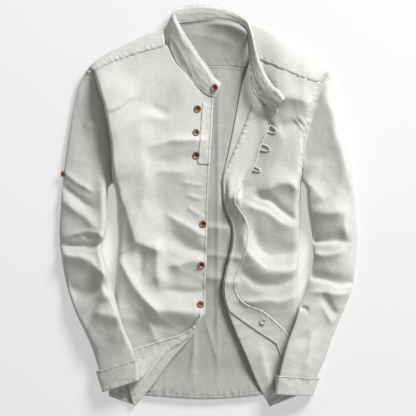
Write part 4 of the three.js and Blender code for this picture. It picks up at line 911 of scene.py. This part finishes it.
def yokePoints():
    u = np.linspace(0, 1, yoke["grid"][0])
    v = np.linspace(0, 1, yoke["grid"][1])[:, None]
    x = mix(*yoke["ends"], u)
    lower = np.stack([x, backSeamY(x)], -1)
    plan = mix(neckline(u)[None], lower[None], v[..., None])
    x, y = plan[..., 0], plan[..., 1]
    fade = yoke["fade"]
    ripple = yoke["ripple"] * grain(x, y, size=30, seed=41.0, stretch=2.0, turn=15) + yoke["rippleMean"]
    inner = smooth(v / fade["top"]) * smooth((1 - v) / fade["bottom"])
    waves = np.maximum(0, ripple) + foldsAt(folds["yoke"], x, y) * inner
    waves = waves * smooth(u / fade["right"]) * smooth((1 - u) / fade["left"])
    risen = yoke["height"] * smooth((x - yoke["from"]) / (yoke["to"] - yoke["from"]))
    return np.dstack([plan, shirt["floor"] + waves + risen * (1 - v) ** 0.5])


# The yoke gets the darker neck colour: painted shade under the collar
clothPiece("yoke", yokePoints(), "shadedNeck", [("bottom", 9, 0.9, 5, 5), ("top", 6, 0.3, 8, 5)], slot="cloth")
print("back and yoke made")

# Sleeves: the edges of the flattened tube, the heights of its crest and its edges, and how high its
# underside lies at its outer and at its inner edge
sleeves = sided("outerX outerY innerX innerY top edge under over", [
    (-243, 280, -195, 56, 17, 15, 0.7, 0.7), (-257, 256, -197, 53, 19, 10),
    (-268, 216, -199, 50, 19, 8), (-278, 160, -201, 47, 20, 9), (-286, 104, -202, 40, 21, 10),
    (-292, 54, -203, 24, 22), (-295, 14, -204, 2, 23, 11), (-297, -18, -203, -22, 25),
    (-298, -44, -205, -44, 26, 10), (-297, -66, -211, -64), (-294, -92, -213, -80, 27),
    (-290, -118, -205, -106), (-284, -146, -196, -142, 28, 11, 0.7, 3),
    (-275, -178, -187, -176, 28, 12, 0.7, 14), (-262, -211, -178, -208, 30, 14, 1.5, 17),
    (-246, -244, -168, -238, 32, 16, 4, 18), (-231, -278, -156, -264, 34, 19, 9, 19),
    (-221, -310, -149, -287, 35, 21, 13), (-215, -332, -146, -309, 35, 23, 15),
    (-208, -354, -143, -332, 34, 24, 16),
], [
    (238, 276, 186, 60, 18, 15, 0.7, 0.7), (252, 246, 188, 57, 21, 9), (264, 196, 190, 54, 25),
    (275, 142, 192, 50, 28, 11), (283, 88, 195, 42, 29, 12), (289, 44, 196, 26, 28, 11),
    (293, 10, 198, 2, 27), (295, -20, 202, -22), (296, -44, 206, -48, 26, 10), (295, -70, 208, -76),
    (293, -98, 208, -104, 27), (290, -126, 202, -130, 28, 11),
    (284, -158, 192, -160, 29, 11, 0.7, 1.5), (272, -190, 182, -190, 31, 12, 0.7, 10),
    (258, -222, 172, -222, 34, 12, 1, 12), (244, -258, 159, -256, 37, 12, 2),
    (231, -296, 149, -290, 41, 12, 3), (218, -324, 142, -319, 43, 12, 4), (212, -342, 139, -338, 44),
    (205, -362, 137, -358),
])
sleeveShape = {
    "topRound": 1.7, "innerEdge": 0.95, "underRound": 0.4, "capRows": 4, "capFlat": 0.3, "seamRows": 0.6,
    "seamReach": {"right": (14, 26), "left": (4, 8)}, "reachFrom": 110, "reachRun": 100, "seamStep": 0.7,
    "underarm": 16, "foldFade": 0.45, "crease": 1.3, "wide": 0.7, "fine": 0.3,
    "turn": {"right": 70, "left": 110}, "wander": 6, "wanderSize": 40, "overFrom": 0.02, "overRun": 0.3,
    "closeUnder": 3, "closeRun": 0.3, "allowance": (3.0, 1.8),
}
# Toward the cuff a sleeve's inner edge stands up on the front
sleeveStand = {"from": 0.5, "share": 0.4, "y": -150, "run": 60}

# Where the crest of each sleeve runs, from 0 at its outer edge to 1 at its inner edge
sleeveCrest = sided("y share", [
    (290, 0.6), (200, 0.72), (100, 0.8), (20, 0.86), (-30, 0.88), (-90, 0.88), (-160, 0.9),
    (-220, 0.92), (-360, 0.92),
], [
    (290, 0.36), (200, 0.26), (90, 0.2), (30, 0.5), (-40, 0.4), (-120, 0.3), (-170, 0.5), (-210, 0.88),
    (-370, 0.92),
])


def capCurve(side):
    step = sleeveShape["seamStep"] * fronts[side]["inward"]
    hole = armholes[side]
    middle = [(x - step, y) for x, y in zip(hole["x"][:-1], hole["y"][:-1])]
    outer, inner = ([sleeves[side][name + axis][0] for axis in "XY"] for name in ("outer", "inner"))
    return curveThrough(outer, *middle, inner)


def sleevePoints(side, place, around=92, growth=0.0):
    rows, shape, stand = sleeves[side], sleeveShape, sleeveStand
    at = {key: between(rows, key, place)[:, None] for key in rows}
    growth = np.asarray(growth, float) * np.ones((len(place), 1))
    outer, inner = (np.dstack([at[name + axis] for axis in "XY"]) for name in ("outer", "inner"))
    out = (inner - outer) / np.linalg.norm(inner - outer, axis=2, keepdims=True) * growth[..., None]
    outer, inner = outer - out, inner + out
    angle = np.linspace(0, 2 * math.pi, around, endpoint=False)[None, :]
    s = (1 - np.cos(angle)) / 2
    cap = capCurve(side)
    bend = cap(s[0]) - mix(cap(0), cap(1), s[0][:, None])
    fade = (1 - smooth(place / shape["capRows"]))[:, None]
    plan = mix(outer, inner, s[..., None]) + bend[None] * fade[..., None]
    x, y = plan[..., 0], plan[..., 1]
    level = np.abs(np.sin(angle))
    crest = columnAt(sleeveCrest[side], "share", at["outerY"])
    climb = np.where(s < crest, s / crest, (1 - s) / (1 - crest))
    raised = (1 - (1 - climb) ** shape["topRound"]) ** (1 / shape["topRound"])
    stands = smooth((stand["y"] - at["outerY"]) / stand["run"])
    stands = stands * smooth((s - stand["from"]) / stand["share"])
    edge = mix(at["edge"], shape["innerEdge"] * at["top"], stands)
    upper = mix(edge, at["top"] + growth, raised)
    creased = crumple(x, y, size=26, seed=53.0, stretch=2.2, turn=shape["turn"][side])
    creased = shape["wide"] * (creased + crumple(x, y, size=24, seed=54.0, stretch=2.0, turn=5))
    creased = shape["crease"] * (creased + shape["fine"] * crumple(x, y, size=10, seed=55.0))
    ridges = foldsAt(folds[side + "Sleeve"], *wandered(x, y, shape["wander"], shape["wanderSize"], 51.0))
    loose = (ridges + creased) * smooth(level / shape["foldFade"])
    upper = upper + loose * smooth(place / shape["seamRows"])[:, None]
    hole = armholes[side]
    fromSeam = np.maximum(0, (columnAt(hole, "x", y) - x) * fronts[side]["inward"])
    reach = mix(*shape["seamReach"][side], smooth((y - shape["reachFrom"]) / shape["reachRun"]))
    seamed = np.exp(-fromSeam / reach) * smooth((y - hole["y"][-1]) / shape["underarm"])
    seamed = np.maximum(seamed, (1 - smooth(place / shape["capFlat"]))[:, None])
    upper = mix(upper, armholeHeight(side, y), seamed)
    base = mix(at["under"], at["over"], smooth((s - shape["overFrom"]) / shape["overRun"]))
    lower = mix(edge, base, level ** shape["underRound"])
    lower = lower - np.minimum(growth, shape["closeUnder"]) * smooth(level / shape["closeRun"])
    z = np.where(angle < math.pi, upper, lower)
    return np.dstack([x, y, np.maximum(z, shirt["floor"])])


def makeSleeve(side):
    points = sleevePoints(side, evenPlaces(sleeves[side], ("outer", "inner")))
    half = points.shape[1] // 2
    allowance = points[:1].copy()
    allowance[:, :half, 0] += sleeveShape["allowance"][0] * fronts[side]["inward"]
    allowance[:, 1:half, 2] -= sleeveShape["allowance"][1]
    points = np.concatenate([allowance, points], 0)
    clothPiece(f"sleeve_{side}", points, "cloth", [("top", 6, 0.9, 7, 8)], closed=True)


for side in ("right", "left"):
    makeSleeve(side)
print("sleeves made")

# Cuffs, turned up over two rows of the sleeve: how far each ring stands out from the sleeve and is moved
cuffs = {
    "right": {"flare": (5.6, 5.2, 5), "liftX": (2, 1, 1.4), "liftY": (-8, -4, -5)},
    "left": {"flare": (4.8, 4.2, 3.8), "liftX": (-2.6, -1.3, -2), "liftY": (-8, -4, -6)},
}
cuffShape = {"rows": (17, 19), "rings": 22, "flutter": 0.8}


def makeCuff(side):
    place = np.linspace(*cuffShape["rows"], cuffShape["rings"])
    ring = {key: np.array(values, float) for key, values in cuffs[side].items()}
    at = {key: between(ring, key, place - cuffShape["rows"][0])[:, None] for key in ring}
    points = sleevePoints(side, place, growth=at["flare"])
    flutter = cuffShape["flutter"] * grain(points[..., 0], points[..., 1], size=16, seed=61.0)
    points[..., 0] += at["liftX"]
    points[..., 1] += at["liftY"] + flutter
    clothPiece(
        f"cuff_{side}", points, "cloth", [("top", 3, 0.9, 6, 6), ("bottom", 3, 0.6, 7, 6)], closed=True,
        wall=shirt["bandWall"],
    )


for side in ("right", "left"):
    makeCuff(side)

cuffEnd = {
    "grid": (18, 20),
    "top": curveThrough((-141, -293, 30), (-124, -285, 26), (-106, -278, 22)),
    "bottom": curveThrough((-137, -334, 36), (-128, -325, 33), (-112, -297, 28)),
}


def cuffEndPoints():
    u = np.linspace(0, 1, cuffEnd["grid"][0])
    v = np.linspace(0, 1, cuffEnd["grid"][1])[None, :, None]
    points = mix(cuffEnd["top"](u)[:, None], cuffEnd["bottom"](u)[:, None], v)
    points[..., 2] += cuffShape["flutter"] * grain(points[..., 0], points[..., 1], size=12, seed=71.0)
    return points


clothPiece(
    "cuff_right_end", cuffEndPoints(), "cloth", [("left", 3, 0.5, 6, 5), ("bottom", 3, 0.3, 6, 4)],
    wall=shirt["bandWall"],
)
print("cuffs made")

# Collar band, from its button end round the neck to its buttonhole end
collar = columns(
    "lowX lowY lowZ upX upY upZ",
    (12, 226, 17, 24, 254, 22), (-5, 233, 18, 12, 264, 26), (-18, 243, 20, 2, 277, 29),
    (-32, 255, 21, -6, 290, 32), (-48, 275, 22, -18, 306, 34), (-65, 297, 22, -30, 324, 37),
    (-78, 322, 22, -44, 344, 40), (-87, 345, 19, -58, 367, 40), (-89, 358, 14, -68, 388, 36),
    (-83, 369, 8, -69, 400, 28), (-66, 374, 2.8, -55, 408, 14), (-32, 379, 2.1, -28, 411, 12),
    (2, 382, 2.1, 2, 411, 11), (35, 380, 2.1, 33, 404, 9), (56, 374, 3, 60, 392, 13),
    (71, 365, 8, 77, 378, 22), (77, 344, 15, 86, 354, 34), (79, 318, 22, 93, 322, 40),
    (82, 290, 27, 103, 292, 43), (86, 262, 30, 115, 266, 45), (95, 236, 30, 128, 247, 48),
    (110, 217, 29, 142, 236, 48), (130, 200, 28, 150, 223, 47),
)
# "rowRun" and "height" stretch the crumples along and up the band, and they fade within "endFade" rows
collarShape = {
    "step": 2.0, "belly": 2.5, "curl": 6, "rim": 0.82, "crumple": 1.6, "rowRun": 20, "height": 40,
    "endFade": 0.4, "across": 30,
}


def collarPoints():
    shape = collarShape
    place = evenPlaces(collar, ("low", "up"), shape["step"])[:, None]
    at = {key: between(collar, key, place) for key in collar}
    t = np.linspace(0, 1, shape["across"])[None, :]
    low, up = (np.dstack([at[name + axis] for axis in "XYZ"]) for name in ("low", "up"))
    endAway = np.minimum(place, len(collar["lowX"]) - 1 - place)
    points = mix(low, up, t[..., None])
    points[..., 2] += shape["belly"] * 4 * t * (1 - t)
    points[..., 2] -= shape["curl"] * clamp((t - shape["rim"]) / (1 - shape["rim"])) ** 2
    rough = crumple(place * shape["rowRun"] + 0 * t, t * shape["height"], 13, 81.0, stretch=3.0, turn=8)
    points[..., 2] += shape["crumple"] * rough * smooth(endAway / shape["endFade"])
    return points


clothPiece(
    "collar", collarPoints(), "cloth", [("left", 3.5, 0.5, 7, 5), ("right", 3.5, 0.7, 7, 6)],
    wall=shirt["bandWall"],
)
print("collar made")

# Buttons, turned to a profile given in shares of the radius and the height
button = {
    "radius": 6.9, "height": 2.8, "holePlace": 1.6, "holeRadius": 0.8, "holeDepth": 0.9, "sides": 40,
    "seat": 1.9, "thread": 0.7, "threadLength": 4.4, "threadLift": 0.12, "floor": 0.34, "well": 0.6,
    "wellSteps": 10, "wellSlope": 0.04, "holeFrom": 0.3,
    "rim": [
        (0, 0), (0.84, 0), (0.95, 0.18), (1, 0.5), (0.99, 0.8), (0.94, 0.96), (0.88, 1), (0.82, 0.97),
        (0.76, 0.84), (0.68, 0.62), (0.6, 0.5),
    ],
}


def buttonMesh(scale):
    r, h = button["radius"] * scale, button["height"] * scale
    floor, well, hole = button["floor"], button["well"], button["holeRadius"] * scale
    last, slope = button["wellSteps"], button["wellSlope"]
    dish = [(well * (1 - k / last), floor + slope * math.exp(-k)) for k in range(1, last)]
    shape = bmesh.new()
    verts = [shape.verts.new((r * a, 0, h * b)) for a, b in button["rim"] + dish + [(0, floor)]]
    edges = [shape.edges.new(pair) for pair in zip(verts, verts[1:])]
    bmesh.ops.spin(
        shape, geom=verts + edges, cent=(0, 0, 0), axis=(0, 0, 1), angle=2 * math.pi,
        steps=button["sides"], use_merge=True,
    )
    bmesh.ops.remove_doubles(shape, verts=shape.verts, dist=1e-4)
    holes = [Vector((1, 1)), Vector((-1, 1)), Vector((-1, -1)), Vector((1, -1))]
    ring = shape.verts.layers.float.new("ring")
    for vert in shape.verts:
        vert[ring] = vert.co.xy.length / r
        if vert.co.xy.length > well * r or vert.co.z < h * button["holeFrom"]:
            continue
        for corner in holes:
            away = (vert.co.xy - corner.normalized() * button["holePlace"] * scale).length
            vert.co.z -= button["holeDepth"] * scale * math.exp(-((away / hole) ** 4))
    thread = Matrix.Diagonal((button["threadLength"], button["thread"], button["thread"], 1))
    lift = Matrix.Translation((0, 0, (floor + button["threadLift"]) * h)) @ Matrix.Scale(scale, 4)
    for turn in (45, 135):    # crossing threads
        place = lift @ Matrix.Rotation(math.radians(turn), 4, "Z") @ thread
        made = bmesh.ops.create_cube(shape, size=1, matrix=place)
        for face in {face for vert in made["verts"] for face in vert.link_faces}:
            face.material_index = 1
    bmesh.ops.recalc_face_normals(shape, faces=shape.faces)
    return shape


def makeButton(node, finish, normal, scale=1.0, top=None):
    low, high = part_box(node)
    centre = (low + high) / 2
    if top is not None:
        centre.z = (top + button["seat"]) / 1000
    shape = buttonMesh(scale)
    tilt = Vector((0, 0, 1)).rotation_difference(Vector(normal).normalized()).to_matrix().to_4x4()
    sit = tilt @ Matrix.Translation((0, 0, -button["height"] * scale / 2))
    place = Matrix.Translation(centre) @ Matrix.Scale(0.001, 4) @ sit
    bmesh.ops.transform(shape, matrix=place, verts=shape.verts)
    for face in shape.faces:
        face.smooth = face.material_index == 0
    addPiece(node + "_turned", meshFrom(shape, node), node, finish, finish, finish + "Thread")


def normalAt(side, x, y, step=7):
    slopeX = (heightAt(side, x + step, y) - heightAt(side, x - step, y)) / (2 * step)
    slopeY = (heightAt(side, x, y + step) - heightAt(side, x, y - step)) / (2 * step)
    return -slopeX, -slopeY, 1


frontButtons = {
    "button_front_1": (-23, 204), "button_front_2": (-26, 157), "button_front_3": (-26, 111),
    "button_front_4": (-12, -26), "button_front_5": (-15, -108), "button_front_6": (-17, -186),
}
for node, (x, y) in frontButtons.items():
    makeButton(node, "wood", normalAt("right", x, y), top=heightAt("right", x, y))
otherButtons = {
    "button_collar": ("wood", (-0.15, 0.05, 1)),
    "button_tab": ("wood", (-0.86, 0.05, 0.5), 0.86),
    "button_inner": ("shell", normalAt("left", 108, -220), 0.85),
}
for node, spec in otherButtons.items():
    makeButton(node, *spec)
print("buttons made")

# Button loops of rolled cord on the left front's edge
loops = {
    "loop_1": {"row": 6.6, "length": 17, "width": 13, "turn": -28},
    "loop_2": {"row": 7.98, "length": 19, "width": 12, "turn": -18},
    "loop_3": {"row": 9.6, "length": 16, "width": 8, "turn": -24},
}
loopCord = {
    "radius": 1.5, "foot": -1.5, "lift": 0.7, "points": 15, "fullness": 0.8, "rise": 1.2, "base": 0.4,
}


def makeLoop(node):
    spec, cord = loops[node], loopCord
    points, made = frontGrids["left"]
    root = Vector(points[np.argmin(np.abs(made["place"] - spec["row"])), -1])
    line = bpy.data.curves.new(node, "CURVE")
    line.dimensions = "3D"
    line.bevel_depth = cord["radius"] / 1000
    line.bevel_resolution = 4
    line.use_fill_caps = True
    spline = line.splines.new("NURBS")
    spline.points.add(cord["points"] - 1)
    turn = Matrix.Rotation(math.radians(spec["turn"]), 3, "Z")
    for k, point in enumerate(spline.points):
        angle = math.pi * k / (cord["points"] - 1)
        forward = cord["foot"] + spec["length"] * math.sin(angle) ** cord["fullness"]
        aside = spec["width"] / 2 * math.cos(angle)
        at = turn @ Vector((forward, aside, cord["rise"] * math.sin(angle) + cord["base"])) + root
        at.z = max(at.z, heightAt("left", at.x, at.y) + cord["radius"] + cord["lift"])
        point.co = (*framed(*at), 1)
    spline.use_endpoint_u = True
    spline.order_u = 4
    addPiece(node + "_cord", line, node, "facing", "facing")


for node in loops:
    makeLoop(node)
print("loops made")

# Table, light and camera. The camera is placed in mm, the table and the lamps in metres. Headings are
# from +X and rises from the table, in degrees. The key lamp is near enough to fall off down the shirt.
studio = {
    "imageCentre": (-2, 6), "imageWidth": 832, "distance": 6000, "sensor": 36, "farthest": 50,
    "table": 6, "room": 0.21, "tint": (1.0, 0.965, 0.91),
}
lamps = {
    "key": {"kind": "AREA", "heading": 54, "rise": 33, "away": 4.2, "power": 228, "size": 1.6},
    "side": {"kind": "SUN", "heading": -52, "rise": 34, "away": 4.0, "power": 0.5, "size": 60},
}


def addLamp(name, spec):
    light = bpy.data.lights.new(name, spec["kind"])
    light.energy = spec["power"]
    if spec["kind"] == "SUN":
        light.angle = math.radians(spec["size"])
    else:
        light.shape = "DISK"
        light.size = spec["size"]
    heading, rise = math.radians(spec["heading"]), math.radians(spec["rise"])
    flat = math.cos(rise)
    toward = Vector((math.cos(heading) * flat, math.sin(heading) * flat, math.sin(rise)))
    lamp = bpy.data.objects.new(name, light)
    lamp.location = toward * spec["away"]
    lamp.rotation_euler = (-toward).to_track_quat("-Z", "Y").to_euler()
    lamp.visible_camera = False
    bpy.context.scene.collection.objects.link(lamp)


def makeStudio():
    scene = bpy.context.scene
    table = bmesh.new()
    bmesh.ops.create_grid(table, x_segments=1, y_segments=1, size=studio["table"])
    plane = bpy.data.objects.new("table", meshFrom(table, "table"))
    scene.collection.objects.link(plane)
    plane.data.materials.append(finishes["floor"])
    for name, spec in lamps.items():
        addLamp(name, spec)
    scene.world = bpy.data.worlds.new("room")
    scene.world.use_nodes = True
    sky = scene.world.node_tree.nodes["Background"]
    sky.inputs[0].default_value = (*studio["tint"], 1)
    sky.inputs[1].default_value = studio["room"]
    lens = bpy.data.cameras.new("camera")
    lens.sensor_width = studio["sensor"]
    lens.lens = lens.sensor_width * studio["distance"] / studio["imageWidth"]
    lens.clip_end = studio["farthest"]
    scene.camera = bpy.data.objects.new("camera", lens)
    scene.camera.location = framed(*studio["imageCentre"], studio["distance"])
    scene.collection.objects.link(scene.camera)
    scene.view_settings.view_transform = "Standard"


makeStudio()
print("studio made")
